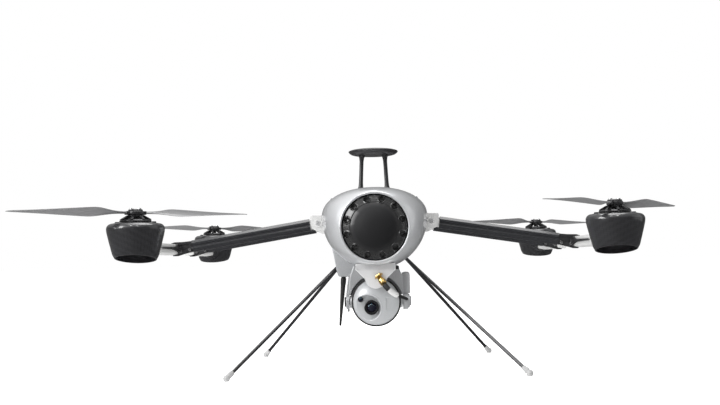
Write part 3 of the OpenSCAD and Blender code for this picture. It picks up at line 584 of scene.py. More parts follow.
def arm_tube(name, sx, sy):
    place = arm_place(sx, sy)
    outer, inner = tube_outline(), tube_outline(1.6)
    section = [[(x, y, z) for y, z in ring] for x, ring in
               ((TUBE_START, inner), (TUBE_START, outer), (TUBE_END, outer), (TUBE_END, inner))]
    shape = Shape().rings(section[::-1], place, caps=False, loop=True)
    shape.make(name + "_carbon_tube", TUBE, name + "_arm", "carbon", [name + "_arm_tube"], bevel=0.45)
    eye = arc(0, 0, 8, 52, 308, 24) + [(TUBE_START + 6, -5.6), (TUBE_START + 6, 5.6)]
    tongue = Shape().prism(eye, 10, place @ ACROSS, -5)
    tongue.block((TUBE_START - 0.5, -6.4, -6), (TUBE_START + 0.6, 6.4, 6), place)
    tongue.make(name + "_hinge_tongue", WHITE, name + "_arm", "white_plastic", bevel=0.4)


def arm_fork(name, sx, sy):
    place = arm_place(sx, sy)
    face = REACH - BOOM_W / 2 - 0.1
    grip = BOOM_H / 2 + 0.1
    side = [(TUBE_END + 0.2, -6.9), (face - 9, -7.5), (REACH - 4, -9.0), (REACH + 0.8, -8.3),
            (REACH + 0.8, -grip), (face, -grip), (face, grip), (REACH + 0.8, grip),
            (REACH + 0.8, 8.3), (REACH - 4, 9.0), (face - 9, 7.5), (TUBE_END + 0.2, 6.9)]
    shape = Shape().prism(side, FORK_W - 3, place @ ACROSS, -(FORK_W - 3) / 2)
    frame_in = [(TUBE_END + 3.2, -2.2), (face - 4.2, -3.2), (face - 4.2, 4.2), (TUBE_END + 3.2, 3.8)]
    frame_out = [(TUBE_END + 0.2, -6.9), (face - 0.2, -7.6), (face - 0.2, 7.6), (TUBE_END + 0.2, 6.9)]
    for y in (FORK_W / 2 - 1.5, -FORK_W / 2):
        # a raised rim round a sunk panel
        ring = [[(x, y + d, z) for x, z in outline] for d, outline in
                ((0, frame_in), (1.5, frame_in), (1.5, frame_out), (0, frame_out))]
        shape.rings(ring[::-1], place, caps=False, loop=True)
    shape.prism(tube_outline(1.75), 14.5, place @ ALONG_X, TUBE_END - 14)
    below = [(FORK_W / 2 - 2, -7.0), (14, -4.4), (22, -2.7), (40, -1.7), (SPEAR - 6, -1.0)]
    spear = below + [(SPEAR, 0)] + [(y, -z) for y, z in reversed(below)]
    shape.prism(spear, 2.2, place @ ALONG_X, face - 2.3)
    shape.prism([(0, -2.2), (60, -0.8), (60, 0.8), (0, 2.2)], 1.0, place @ ALONG_X, face - 3.2)
    shape.make(name + "_fork_body", BLACK, name + "_arm", "black_plastic", [name + "_arm_fork"], bevel=0.35)
    screws = Shape()
    for x in (TUBE_END + 3, TUBE_END + 15.5):
        for outward in (1, -1):
            out = place @ move(x, outward * FORK_W / 2, -4.2) @ turn("X", -90 * outward)
            screws.lathe([(0, -3), (1.2, -3), (1.2, 0.1), (2.3, 0.1), (2.3, 0.9), (1.9, 1.5), (1.15, 1.55),
                          (1.05, 0.7), (0, 0.6)], out, 24)
    screws.make(name + "_fork_screw_heads", STEEL, name + "_arm", "steel", [name + "_fork_screws"])


def boom_section(shrink):
    w, h = BOOM_W / 2 - shrink, BOOM_H / 2 - shrink
    return rounded([(w, -h), (w, h), (-w, h), (-w, -h)], 3.4 - shrink * 0.8, 6)


def boom_axis():
    slope = math.radians(ARM_SLOPE)
    return HINGE_X + REACH * math.cos(slope), SPLIT_Z - REACH * math.sin(slope)


def boom(name, sx, sy):
    low, high = span(name + "_boom")
    near, far = min(abs(low.y), abs(high.y)), max(abs(low.y), abs(high.y))
    x, z = boom_axis()
    place = quarter(sx, sy) @ move(x, near, z) @ turn("Y", ARM_SLOPE)
    # sections lie in (x, z), and run towards +y
    length = far - near
    stations = [(0, 1.2), (0.5, 0.4), (1.4, 0), (40, 0), (60, 0), (length - 34, 0), (length - 20, 0.7),
                (length, 0.7)]
    rings = [[(px, d, pz) for px, pz in boom_section(s)] for d, s in stations]
    Shape().rings(rings, place).make(name + "_boom_tube", WHITE, name + "_arm", "white_plastic",
                                     [name + "_boom"], sharp=30)


def collars():
    low, high = span("arm_collars")
    r = (high.z - low.z) / 2
    shape = Shape()
    for _, sx, sy in CORNERS:
        place = quarter(sx, sy) @ move(HINGE_X, ARM_Y, SPLIT_Z)
        ear = [(62 - HINGE_X, -r)] + arc(0, 0, r, -90, 0, 16) + arc(r - 2.5, r - 2.5, 2.5, 0, 90, 6)
        ear += [(62 - HINGE_X, r)]
        for y in (5.3, -10):
            shape.prism(ear, 4.7, place @ ACROSS, -y - 4.7)
        shape.prism([(-9.9, -r), (-8.2, -r), (-8.2, r), (-9.9, r)], 10.6, place @ ACROSS, -5.3)
        for y in (10, -10.8):
            # a raised ring round the pin on each outer face
            shape.lathe([(3.1, 0), (5.4, 0), (5.4, 0.8), (3.1, 0.8)],
                        place @ move(0, y, 0) @ turn("X", -90), 40, True)
    shape.make("arm_root_collars", WHITE, "root", "white_plastic", ["arm_collars"], bevel=0.5)
    pins = Shape()
    for _, sx, sy in CORNERS:
        for outward in (1, -1):
            out = quarter(sx, sy) @ move(HINGE_X, ARM_Y, SPLIT_Z) @ turn("X", -90 * outward)
            pins.lathe([(0, 0), (3, 0), (3, 10.5), (2.6, 10.9), (1.4, 10.9), (1.4, 10.3), (0, 10.3)], out, 32)
    pins.make("arm_hinge_pins", PINS, "root", "steel", ["hinge_pins"])


# ---------- pods and motors ----------

POD_TOP_Z, POD_LOW_Z = 185.0, 141.5
POD_R, POD_MOUTH_R, POD_WALL = 31.25, 22.35, 1.6
MOUTH_SLANT = math.radians(11.5)
MOTOR_HOLE_R = 12.6
POD_STEPS = 96
TEETH, WIRE_R, POD_BOLT_AT = 9, 0.72, 20.1


def pod_place(name, sx, sy, z=0.0):
    """Mirrors a piece drawn round the Z axis to a corner's rotor axis."""
    centre = joint_point(name + "_rotor_spin")
    return quarter(sx, sy) @ move(abs(centre.x), abs(centre.y), z)


def pod_ring(low_share, inset):
    """One ring of the pod's side. low_share is 1 at the slanted lip and 0 under the shoulder."""
    top_z, top_r = POD_TOP_Z - 9.5, POD_R - 0.25 - inset
    reach = POD_MOUTH_R - inset
    ring = []
    for i in range(POD_STEPS):
        a = TAU * i / POD_STEPS
        lip_z = POD_LOW_Z + (reach * math.sin(a) + POD_MOUTH_R) * math.tan(MOUTH_SLANT)
        z = mix(top_z, lip_z, low_share)
        fall = (top_z - z) / (top_z - POD_LOW_Z)
        r = mix(top_r, reach, fall ** 1.08) - 1.0 * smooth((low_share - 0.86) / 0.14)
        ring.append((r * math.cos(a), r * math.sin(a), z))
    return ring


def pod_shell(name, sx, sy):
    shares = [1 - (i / 16) for i in range(17)]
    shoulder, under = (POD_R - 6, POD_TOP_Z - 6.6), POD_TOP_Z - POD_WALL
    profile = arc(*shoulder, 6, -8, 84, 12)
    profile += [(23.5, POD_TOP_Z - 0.25), (22.8, POD_TOP_Z), (16, POD_TOP_Z), (15.2, POD_TOP_Z - 0.5),
                (MOTOR_HOLE_R + 0.3, POD_TOP_Z - 0.5), (MOTOR_HOLE_R, POD_TOP_Z - 0.9), (MOTOR_HOLE_R, under),
                (23.2, under)]
    profile += arc(*shoulder, 6 - POD_WALL, 84, -8, 8)
    rings = [pod_ring(share, 0) for share in shares]
    rings += [circle(r, z, POD_STEPS) for r, z in profile]
    rings += [pod_ring(share, POD_WALL) for share in shares[::-1]]
    shape = Shape().rings(rings, pod_place(name, sx, sy), caps=False, loop=True)
    x, z = boom_axis()
    end_y = span(name + "_boom")
    far = max(abs(end_y[0].y), abs(end_y[1].y))
    # socket where the boom comes in, flared into the pod's wall
    socket = quarter(sx, sy) @ move(x, far - 19, z) @ turn("X", -90)
    shape.lathe([(7.6, 0), (8.6, -0.2), (9.4, 0.6), (9.5, 9), (10.2, 15), (11.6, 19.5), (7.6, 20)],
                socket, 48, True)
    shape.make(name + "_pod_skin", POD, name + "_arm", "carbon_gloss", [name + "_pod_shell"], sharp=48)


def motor(name, sx, sy):
    """Stator under the pod's top: laminated teeth with copper windings, and the bolts above."""
    place = pod_place(name, sx, sy)
    under = POD_TOP_Z - POD_WALL
    below = place @ move(0, 0, under)
    core = Shape().lathe([(2.1, -24), (8.4, -24), (8.4, -3), (22, -3), (22, 0), (12.2, 0), (12.2, 1.4),
                          (2.1, 1.4)], below, 64, True)
    for i in range(TEETH):
        core.block((7, -1.4, -20), (17, 1.4, -6), below @ turn("Z", 360 / TEETH * i))
        core.block((16, -4, -20), (17.4, 4, -6), below @ turn("Z", 360 / TEETH * i))
    core.make(name + "_stator", MOTOR, name + "_arm", "motor_metal", [name + "_motor_base"], bevel=0.2)
    coils = Shape()
    for i in range(TEETH):
        for k in range(5):
            x, w, low, high = 9.2 + 1.45 * k, 2.2 + 0.16 * k, -21, -5
            rings = []
            for y, z in rounded([(-w, low), (w, low), (w, high), (-w, high)], 1.2, 2):
                out = Vector((0, y, z - (low + high) / 2)).normalized()
                rings.append([Vector((x, y, z)) + out * b + Vector((a, 0, 0))
                              for a, b, _ in circle(WIRE_R, 0, 6)])
            coils.rings(rings, below @ turn("Z", 360 / TEETH * i), caps=False, loop=True)
    coils.make(name + "_windings", COPPER, name + "_arm", "motor_metal")
    bolts = Shape()
    for i in range(4):
        out = place @ turn("Z", 90 * i) @ move(POD_BOLT_AT, 0, POD_TOP_Z)
        bolts.lathe([(0, -1), (1.3, -1), (1.3, 0), (2.4, 0), (2.4, 1.1), (2.1, 1.5), (1.2, 1.5), (1.1, 0.7),
                     (0, 0.6)], out, 24)
    bolts.make(name + "_pod_bolts", ANODISED, name + "_arm", "black_metal")


def rotor_bell(name, sx, sy):
    """Open spoked cone, the clamp over the propeller and its two bright screws."""
    spin_z = joint_point(name + "_rotor_spin").z
    place = pod_place(name, sx, sy, spin_z)
    base = POD_TOP_Z + 0.9 - spin_z
    shape = Shape().lathe([(13.4, 0), (17.2, 0), (17.3, 1.2), (16.0, 2.6), (14.2, 2.8), (13.4, 2.2)],
                          place @ move(0, 0, base), 72, True)
    for i in range(8):
        spoke = [(13.4, base + 0.4), (17.0, base + 0.6), (16.9, base + 3.2), (9.6, -2.7), (4, -2.7),
                 (4, -4.4), (8.2, -4.9)]
        shape.prism(spoke, 2.6, place @ turn("Z", 45 * i) @ turn("X", 90), -1.3)
    shape.lathe([(0, -5.0), (8.6, -5.0), (9.4, -4.2), (9.4, -2.7), (0, -2.7)], place, 48)
    shape.lathe([(0, -31), (2, -31), (2, -4), (0, -4)], place, 24)
    shape.lathe([(0, 2.35), (7.8, 2.35), (8.0, 2.9), (7.3, 3.7), (6.4, 4.0), (2.4, 4.0), (2.2, 3.3), (0, 3.3)],
                place, 48)
    shape.make(name + "_spoked_cone", ANODISED, name + "_rotor", "black_metal", [name + "_rotor_bell"],
               bevel=0.25)
    screws = Shape()
    for side in (-1, 1):
        screws.lathe([(0, 3.8), (2.0, 3.8), (2.0, 4.7), (1.7, 5.2), (1.0, 5.2), (0.95, 4.4), (0, 4.4)],
                     place @ move(side * 4.3, 0, 0), 24)
    screws.make(name + "_clamp_screws", STEEL, name + "_rotor", "steel")


PROP_R, CHORD, WIDEST, BLADE_SIDES = 140.0, 23.4, 0.36, 28


def blade_ring(r):
    """Aerofoil section at a share r of the radius: a narrow root, the widest chord at a third, a thin tip."""
    if r < WIDEST:
        width = CHORD * mix(0.24, 1.0, smooth((r - 0.10) / 0.27))
    else:
        width = CHORD * mix(1.0, 0.3, ((r - WIDEST) / (1 - WIDEST)) ** 1.4)
    if r > 0.93:
        width *= math.sqrt(max(0.02, 1 - ((r - 0.93) / 0.0702) ** 2.2))
    half, thick = width / 2, mix(3.4, 0.9, r ** 0.7) / 2
    pitch = mix(8, 23, smooth(r / 0.34)) if r < 0.34 else mix(23, 6, ((r - 0.34) / 0.66) ** 1.15)
    pitch = math.radians(pitch)
    ring = []
    for i in range(BLADE_SIDES):
        a = TAU * i / BLADE_SIDES
        c = math.cos(a)
        y = half * c + 0.12 * half
        z = thick * math.sin(a) * (0.55 + 0.45 * math.sqrt(max(0, (1 + c) / 2))) + 0.07 * half * (1 - c * c)
        ring.append((r * PROP_R, y * math.cos(pitch) - z * math.sin(pitch), y * math.sin(pitch) + z))
    return ring[::-1]


def propeller(name, sx, sy):
    centre = joint_point(name + "_rotor_spin")
    hand = sx * sy
    angle = 48 if hand < 0 else 38
    place = move(*centre) @ turn("Z", angle) @ quarter(1, 1 if hand > 0 else -1)
    shares = [0.045 + 0.905 * i / 40 for i in range(41)] + [0.96, 0.97, 0.98, 0.988, 0.994, 0.998, 0.9998]
    shape = Shape()
    for half in (0, 180):
        shape.rings([blade_ring(r) for r in shares], place @ turn("Z", half))
    hub = Shape().lathe([(0, -2.5), (8.0, -2.5), (8.8, -1.8), (9.0, 0), (8.8, 1.6), (7.8, 2.3), (0, 2.3)],
                        place, 56)
    hub.block((-11.5, -3.4, -2.1), (11.5, 3.4, 1.9), place)
    hub.make(name + "_blade_hub", BLACK, name + "_rotor", "black_plastic", bevel=0.5)
    shape.make(name + "_blades", BLADE, name + "_rotor", "propeller", [name + "_propeller"], sharp=50)


# ---------- satellite antenna and struts ----------

def satellite_antenna():
    low, high = span("gps_antenna")
    r, z, h = (high.x - low.x) / 2, low.z, high.z - low.z
    profile = [(0, 0), (r * 0.7, 0), (r - 6.5, 0.4), (r - 3.6, 1.3), (r - 1.5, 2.7), (r - 0.4, 3.9), (r, 4.6),
               (r - 0.5, 4.8), (r - 0.5, 5.05), (r, 5.25), (r - 0.6, 5.8), (r - 2.2, 6.5), (r - 5, 7.2),
               (r - 10, h - 0.7), (r * 0.5, h - 0.2), (0, h)]
    Shape().lathe(profile, move(0, 0, z), 120).make(
        "antenna_disc", BLACK, "root", "black_plastic", ["gps_antenna"], sharp=40)
    foot, head = (18, 0, CROWN_Z - 3), (15.5, 0, z)
    length = (Vector(head) - Vector(foot)).length
    flare = [(0, -1), (5.4, -1), (5.4, 3.4), (5.0, 4.6), (3.9, 6.4), (3.1, 9.5), (2.75, 15),
             (2.65, length * 0.6), (2.7, length - 8), (3.3, length - 3.5), (4.3, length - 1.1), (4.5, length),
             (0, length)]
    struts = Shape()
    for side in (1, -1):
        struts.lathe(flare, quarter(side, 1) @ along(foot, head), 36)
    struts.make("antenna_struts", BLACK, "root", "black_plastic", ["gps_struts"], sharp=50)


# ---------- legs ----------

FOOT_R, FOOT_SINK, LEG_PLUG = 4.2, 0.8, 20.0


def leg_points(name, sx, sy):
    """Where a leg leaves the belly, and its foot's centre, from the foot mounts."""
    mount = next(m for m in frame["record"]["mounts"] if m["name"] == name + "_foot_rest")
    foot = Vector(mount["pos_m"]) / MM
    foot.z = FOOT_R - FOOT_SINK
    return Vector((sx * 49, sy * 25, BELLY_Z + 0.5)), foot


def legs():
    rods, feet = Shape(), Shape()
    for name, sx, sy in CORNERS:
        root, foot = leg_points(name, sx, sy)
        top = root - LEG_PLUG * (foot - root).normalized()
        length = (foot - top).length
        rods.lathe([(0, 0), (1.8, 0), (2.2, 0.4), (2.2, length - 3), (0, length - 3)], along(top, foot), 28)
        rubber = [(0, -1.5), (1.6, -1.45), (2.2, -1.3)]
        rubber += arc(0, 0, FOOT_R, -35, 45, 8)
        rubber += [(3.2, 3.4), (3.5, 4.2), (3.5, 5.4), (3.1, 5.9), (3.4, 6.5), (3.4, 7.6), (3.0, 8.1),
                   (3.2, 8.7), (3.1, 10.8), (2.6, 11.4), (2.2, 11.5)]
        feet.lathe(rubber, along(foot, top), 36)
        feet.lathe([(0, 0), (2.6, 0), (3.6, 0.7), (4.0, 2.2), (3.4, 4.4), (0, 5)],
                   move(foot.x, foot.y, 0), 36)
    # worn flat where they stand on the ground
    feet.verts = [Vector((v.x, v.y, max(v.z, 0))) for v in feet.verts]
    rods.make("leg_carbon_rods", ROD, "root", "carbon", ["leg_rods"])
    feet.make("leg_rubber_feet", FOOT, "root", "foot_rubber", ["leg_feet"], sharp=60)


# ---------- camera ----------

BALL = joint_point("camera_tilt")
BALL_R = 30.4
GASKET_Y, GASKET_T = -8.0, 2.6
MAIN_LENS, SMALL_LENS, RECESS = (-5.9, -6.5), (-19.2, 3.6), (-10.6, -7.0)


def ball_on_y(x=0.0, y=0.0, z=0.0):
    return on_y(BALL.x + x, BALL.y + y, BALL.z + z)


def camera_ball():
    rim = math.degrees(math.asin(-GASKET_Y / BALL_R))
    rear = Shape().lathe(arc(0, 0, BALL_R, -89.9, rim, 40) + [(BALL_R - 2, -GASKET_Y)]
                         + arc(0, 0, BALL_R - 2, rim - 1, -89.9, 20), ball_on_y(), 112)
    for side in (-1, 1):
        hub = move(*BALL) @ turn("Y", 90 * side)
        rear.lathe([(0, 27), (8.6, 27), (8.4, 30.4), (7.6, 31.4), (7.4, 32.8), (4.1, 32.9), (4.0, 36.6),
                    (0, 36.6)], hub, 48)
    rear.make("ball_rear", GREY, "camera_ball", "grey_paint", ["ball_rear_shell"], sharp=40)
    Shape().lathe([(26.4, 0.02), (29.4, 0.02), (30.3, 0.5), (30.6, 1.3), (30.3, 2.2), (29.4, 2.6), (26.4, 2.6)],
                  ball_on_y(0, GASKET_Y, 0), 112, True).make(
        "ball_seal", RUBBER, "camera_ball", "seal", ["ball_gasket"])
    front_face()
    lens_group()


def front_face():
    """Front dome with a round lens recess, whose raised rim runs into the dome."""
    steps, rows = 160, 60
    depth, edge, floor_h = 17.5, 28.6, 8.8
    centre = Vector(RECESS)
    rings = []
    for k in range(rows + 1):
        r = edge * math.sin(math.pi / 2 * k / rows)
        ring = []
        for i in range(steps):
            a = TAU * i / steps
            x, z = r * math.cos(a), r * math.sin(a)
            h = depth * math.sqrt(max(0.0, 1 - (r / edge) ** 2))
            off = (Vector((x, z)) - centre).length
            sink = smooth((16.2 - off) / 1.5)
            rim = 0.6 * math.exp(-((off - 16.9) / 0.7) ** 2)
            panel = smooth((x - 11.5) / 1.2) * smooth((11 - abs(z + 5)) / 1.2)
            flat = mix(h, min(h, 15.2 - 0.28 * max(0.0, x - 9)), panel)
            h = flat + rim * (1 if r < 26 else 0)
            h = mix(h, min(h, floor_h), sink)
            ring.append((x, z, h))
        rings.append(ring)
    back = [circle(r, -0.1, steps) for r in (edge - 0.3, edge - 2, AXIS_R)]
    Shape().rings((rings + back)[::-1], ball_on_y(0, GASKET_Y - GASKET_T, 0), True).make(
        "ball_face", GREY, "camera_ball", "grey_paint", ["ball_front_shell"], sharp=60)


def lens_group():
    y = GASKET_Y - GASKET_T
    mount = ball_on_y(MAIN_LENS[0], y, MAIN_LENS[1])
    barrel = Shape().lathe([(8.9, 8), (9.1, 12.6), (8.8, 13.6), (8.2, 14.0), (7.4, 13.9), (7.0, 13.2),
                            (6.8, 11.6), (6.1, 11.4), (6.0, 10.6), (4.9, 10.4), (4.8, 9.4), (0, 9.2), (0, 8)],
                           mount, 72)
    spot = ball_on_y(SMALL_LENS[0], y, SMALL_LENS[1])
    barrel.lathe([(3.4, 8), (3.5, 12.6), (3.2, 13.2), (2.6, 13.2), (2.4, 12.2), (0, 12.0)], spot, 40)
    barrel.make("lens_barrels", ANODISED, "camera_ball", "black_metal", sharp=30)
    glass = Shape().lathe([(5.9, 10.7), (5.0, 11.7), (3.6, 12.5), (1.8, 13.0), (0, 13.15)], mount, 64)
    glass.lathe([(2.35, 12.1), (1.8, 12.6), (0.9, 12.85), (0, 12.9)], spot, 32)
    glass.make("lens_glass_fronts", LENS, "camera_ball", "lens_glass", ["camera_lenses"], sharp=60)


def gimbal():
    """Yoke over the ball, its tilt motor and the pivot knobs."""
    top = span("gimbal_yoke")[1].z
    outline = [(-34.8, 8.8), (-32.4, 30), (-27.5, top - BALL.z), (27.5, top - BALL.z), (33, 31), (34, 8.8)]
    arch = outline + arc(0, 0, 32.9, 15.5, 164.5, 36)
    place = move(BALL.x, BALL.y, BALL.z) @ turn("X", 90)
    shape = Shape().prism(arch[::-1], 18, place, -9)
    shape.make("yoke_hood", YOKE, "root", "grey_paint", ["gimbal_yoke"], bevel=1.2, segments=3)
    # thin lip that follows the back of the ball; its points are (radius, distance behind the pivot)
    lip = [(33.0, 6), (34.2, 6), (33.1, 9), (31.5, 13), (29.4, 17), (28.3, 17), (30.3, 13), (32.0, 8)]
    Shape().rings([[(r * math.cos(a), r * math.sin(a), -y) for r, y in lip]
                   for a in (math.radians(d) for d in range(14, 167, 4))], place).make(
        "hood_back_lip", YOKE, "root", "grey_paint")
    parts = Shape()
    left = span("gimbal_yoke")[0].x
    arm = rounded([(left, -9), (left, 8), (left + 3.6, 33), (left + 7, 36), (left + 7, 20), (left + 4, 8),
                   (left + 4, -9)][::-1], 1.5)
    parts.prism(arm, 13, place, -6.5)
    parts.lathe([(4.05, 0), (9.4, 0), (9.4, 3.2), (8.6, 4), (4.05, 4)], move(left + 4, BALL.y, BALL.z)
                @ turn("Y", -90), 56, True)
    parts.lathe([(0, 0), (12, 0), (12, 9), (10, 10), (0, 10)], move(0, BALL.y, 123.5), 48)
    # upright housing of the tilt drive, a rounded column
    column = move(37.2, BALL.y, 98)
    parts.lathe([(0, 0), (4.7, 0), (5.2, 0.8), (5.2, 23), (4.6, 25.4), (3.2, 26.6), (0, 26.9)], column, 48)
    parts.block((31.5, -5, 99), (37, 5, 122), move(0, BALL.y, 0))
    parts.make("yoke_arms", YOKE, "root", "grey_paint", bevel=0.3)
    pads = Shape()
    pads.lathe([(4.1, 4.0), (6.2, 4.0), (6.2, 5.2), (5.4, 5.9), (4.1, 5.9)], move(left + 4, BALL.y, BALL.z)
               @ turn("Y", -90), 48, True)
    pads.block((left + 2.2, -6.6, -12), (left + 3.9, 6.6, -9.4), move(*BALL))
    pads.make("pivot_pads", RUBBER, "root", "seal")
    motor_place = move(BALL.x + 33.4, BALL.y, BALL.z) @ turn("Y", 90)
    drum = Shape().lathe([(4.1, 0), (10.4, 0), (10.4, 5.4), (9.8, 6.2), (8.6, 6.2), (8.6, 7.6), (7.8, 8.2),
                          (5.9, 8.2), (5.9, 9.4), (5.2, 10.2), (2.4, 10.2), (2.2, 9.4), (0, 9.4), (0, 5),
                          (4.1, 5)], motor_place, 64)
    drum.make("tilt_drum", YOKE, "root", "black_metal", ["tilt_motor"], bevel=0.2)


NECK_W = 48.6


def neck():
    """Neck plate below the nose with the socket boss, and the release button beside it."""
    low, high = span("neck_plate")
    r = 13.25
    w = NECK_W / 2
    outline = [(w, 128.5), (w, 136), (-w, 136), (-w, 128.5)] + arc(0, low.z + r, r, 188, 352, 28)
    shape = Shape().prism(outline, 5, on_y(0, low.y + 5, 0))
    shape.block((-w, low.y, 127), (w, low.y + 17, 135.5))
    shape.make("neck_plate_skin", NECK, "root", "body_paint", ["neck_plate"], bevel=0.8, segments=3)
    low, high = span("latch_button")
    key = Shape().block(low, high)
    x = high.x - 0.2
    for i in range(4):
        z = mix(low.z + 0.7, high.z - 0.7, i / 3)
        key.block((x, low.y + 0.5, z - 0.25), (x + 0.45, high.y - 0.5, z + 0.25))
    key.make("release_key", BLACK, "release_button", "black_plastic", ["latch_button"], bevel=0.2)


CABLE = [(10.6, -139.6, 109.8), (13, -141, 106.6), (16, -141.5, 103.6), (19.5, -140.5, 100.8), (23, -138, 98.4),
         (26.5, -134, 96.4), (29.5, -129, 95), (32, -123.5, 94), (34.3, -117.5, 93), (36.3, -111.5, 92),
         (37.6, -105.6, 91.2)]


def curve_through(points, per):
    """A smooth line through points, with a number of steps between each two (Catmull-Rom)."""
    p = [Vector(q) for q in points]
    p = [2 * p[0] - p[1]] + p + [2 * p[-1] - p[-2]]
    out = []
    for i in range(1, len(p) - 2):
        for k in range(per):
            t = k / per
            out.append(0.5 * ((2 * p[i]) + (p[i + 1] - p[i - 1]) * t
                              + (2 * p[i - 1] - 5 * p[i] + 4 * p[i + 1] - p[i + 2]) * t * t
                              + (3 * p[i] - p[i - 1] - 3 * p[i + 1] + p[i + 2]) * t ** 3))
    return out + [p[-2]]


def gimbal_lead():
    """Gold plug, black boot, white sleeve and black lead to the tilt motor."""
    start, end = Vector((3, -132.9, 121)), Vector((10.5, -139.5, 110))
    shape = Shape().lathe([(0, 0.4), (5.6, 0.4), (5.6, 1.8), (3.4, 1.8), (3.2, 2.2), (3.2, 3.0), (0, 3.0)],
                          along(start, end), 6)
    body = [(0, 1.5), (3.1, 1.5)]
    for i in range(5):
        body += [(3.1, 2.0 + 0.9 * i), (2.7, 2.4 + 0.9 * i)]
    body += [(3.9, 6.6), (4.2, 7.0), (4.2, 9.6), (3.8, 10.0), (3.8, 10.5), (4.2, 10.9), (4.1, 13.0),
             (3.6, 13.8), (0, 13.8)]
    shape.lathe(body, along(start, end), 40)
    shape.make("gold_plug", GOLD, "root", "gold", ["gimbal_connector"], sharp=30)
    path = curve_through(CABLE, 6)
    Shape().tube(path, [mix(2.5, 1.9, smooth(i / 20)) for i in range(len(path))], 24).make(
        "lead_jacket", RUBBER, "root", "cable", ["gimbal_cable"], sharp=60)
    boot = path[:12]
    Shape().tube(boot, [3.3 if i % 2 else 3.0 for i in range(len(boot))], 28).make(
        "lead_boot", RUBBER, "root", "cable", sharp=60)
    sleeve = path[11:29]
    ends = len(sleeve) - 1
    Shape().tube(sleeve, [3.3 - 0.5 * (i in (0, ends)) for i in range(ends + 1)], 28).make(
        "lead_sleeve", WHITE, "root", "white_plastic", sharp=60)


def whip():
    """Antenna housing under the belly and the whip that swivels in it."""
    pivot = joint_point("whip_swivel")
    low, high = span("antenna_housing")
    outline = [(-55, 158), (-52.5, 146), (-49.3, 126), (-47.2, 120.2), (-45, 119.5), (-27, 119.5), (-24, 122),
               (-22, 136), (-24, 158)]
    shape = Shape().prism(rounded(outline, 2.5), high.y - low.y, on_y(0, high.y, 0))
    piece = shape.make("antenna_fairing", PAINT, "root", "body_paint", ["antenna_housing"], bevel=0.9,
                       segments=3)
    pocket = ((pivot.x - 5.6, pivot.y - 5, pivot.z - 22), (pivot.x + 4.4, pivot.y + 40, pivot.z + 4.6))
    cut_away(piece, [pocket])
    tip = Vector((pivot.x - 5.8, pivot.y, 56))
    rod = Shape().lathe([(0, 1), (2.8, 1), (2.8, 4), (3.5, 4.4), (3.55, 9), (3.3, 12.6), (3.0, 13.2),
                         (3.1, 14.2), (2.5, 34), (1.6, 60), (1.4, 64.8), (0.8, 65.6), (0, 65.8)],
                        along(pivot, tip), 40)
    rod.lathe([(0, -3.4), (3.3, -3.4), (3.6, -3.0), (3.6, 3.0), (3.3, 3.4), (0, 3.4)],
              move(*pivot) @ turn("Y", 90), 36)
    rod.make("whip_rod", RUBBER, "whip", "antenna_rubber", ["whip_antenna"], sharp=50)


def hidden_pieces():
    """CAD solids inside the body keep their own shape and get a finish."""
    for node, finish in (("center_frame", BLACK), ("battery_sleeve", BLACK), ("main_board", BOARD)):
        mesh = frame["nodes"][node].data
        mesh.materials.clear()
        mesh.materials.append(finish)


# ---------- studio ----------

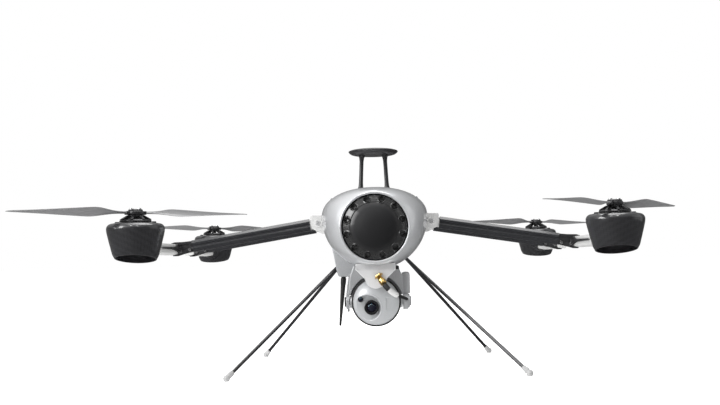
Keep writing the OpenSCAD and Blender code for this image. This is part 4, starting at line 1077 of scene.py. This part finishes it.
def studio():
    """A dim room with large soft boxes, seen by the camera as plain white."""
    world = bpy.data.worlds.new("studio")
    bpy.context.scene.world = world
    world.use_nodes = True
    world.node_tree.nodes.clear()
    n = Nodes(world.node_tree)

    def ramp(value, low, high, to_low, to_high):
        return n.node("MapRange", {"Value": value, "From Min": low, "From Max": high, "To Min": to_low,
                                   "To Max": to_high}, interpolation_type="SMOOTHSTEP").outputs[0]

    heading = n.node("SeparateXYZ", {0: n.node("TexCoord").outputs["Generated"]}).outputs
    overhead = ramp(heading["Z"], 0.05, 0.9, 0.16, 0.9)
    leftward = ramp(heading["X"], -0.6, 0.3, 1.0, 0.45)
    dim = n.node("Background", {"Color": (1, 1, 1, 1), "Strength": n.math("MULTIPLY", overhead, leftward)})
    white = n.node("Background", {"Color": (1, 1, 1, 1), "Strength": 1.0})
    seen = n.node("LightPath").outputs["Is Camera Ray"]
    pick = n.node("MixShader", {0: seen, 1: dim.outputs[0], 2: white.outputs[0]})
    n.node("OutputWorld", {0: pick.outputs[0]})

    def softbox(name, place, size, power):
        lamp = bpy.data.lights.new(name, "AREA")
        lamp.size, lamp.energy = size, power
        fixture = bpy.data.objects.new(name, lamp)
        fixture.location = place
        aim = Vector((0, 0, 0.17)) - Vector(place)
        fixture.rotation_euler = aim.to_track_quat("-Z", "Y").to_euler()
        bpy.context.scene.collection.objects.link(fixture)

    softbox("key", (-2.1, -1.3, 1.2), 1.5, 68)
    softbox("top", (0.1, 0.2, 2.3), 1.6, 40)
    softbox("right_wall", (2.7, -0.2, 1.0), 2.4, 8)
    softbox("crown_left", (-0.5, -1.5, 1.9), 0.25, 5)
    softbox("crown_right", (0.25, -1.5, 1.9), 0.25, 5)

    mesh = bpy.data.meshes.new("floor")
    reach = 40.0
    corners = [(-reach, -reach, 0), (reach, -reach, 0), (reach, reach, 0), (-reach, reach, 0)]
    mesh.from_pydata(corners, [], [(0, 1, 2, 3)])
    floor = bpy.data.objects.new("floor", mesh)
    bpy.context.scene.collection.objects.link(floor)
    s = Surface("floor_paper")
    grain = s.noise(60, 4)
    s.set(Base_Color=s.blend(s.ramp(grain, 0, 1), (0.88, 0.88, 0.88), (0.91, 0.91, 0.91)), Roughness=0.9,
          Specular_IOR_Level=0.1, Emission_Color=(1, 1, 1, 1), Emission_Strength=0.72)
    mesh.materials.append(s.material)
    floor.visible_glossy = False
    bpy.context.scene.view_settings.view_transform = "Standard"


def camera():
    """The reference's viewpoint: low, square on to the nose, and turned a little to each side."""
    lens = bpy.data.cameras.new("camera")
    lens.sensor_width = 36.0
    lens.lens = 50.95
    eye = bpy.data.objects.new("camera", lens)
    eye.location = (0, -1.370, 0.139)
    pitch, yaw, roll = 3.29, 0.80, -1.15
    eye.matrix_world = (Matrix.Translation(eye.location) @ turn("Z", yaw) @ turn("X", 90 + pitch)
                        @ turn("Z", roll))
    bpy.context.scene.collection.objects.link(eye)
    bpy.context.scene.camera = eye


camera()
studio()
body_pieces()
shoulder_screws()
battery_cap()
battery_pack()
collars()
for name, sx, sy in CORNERS:
    arm_tube(name, sx, sy)
    arm_fork(name, sx, sy)
    boom(name, sx, sy)
    pod_shell(name, sx, sy)
    motor(name, sx, sy)
    rotor_bell(name, sx, sy)
    propeller(name, sx, sy)
satellite_antenna()
legs()
camera_ball()
gimbal()
neck()
gimbal_lead()
whip()
hidden_pieces()
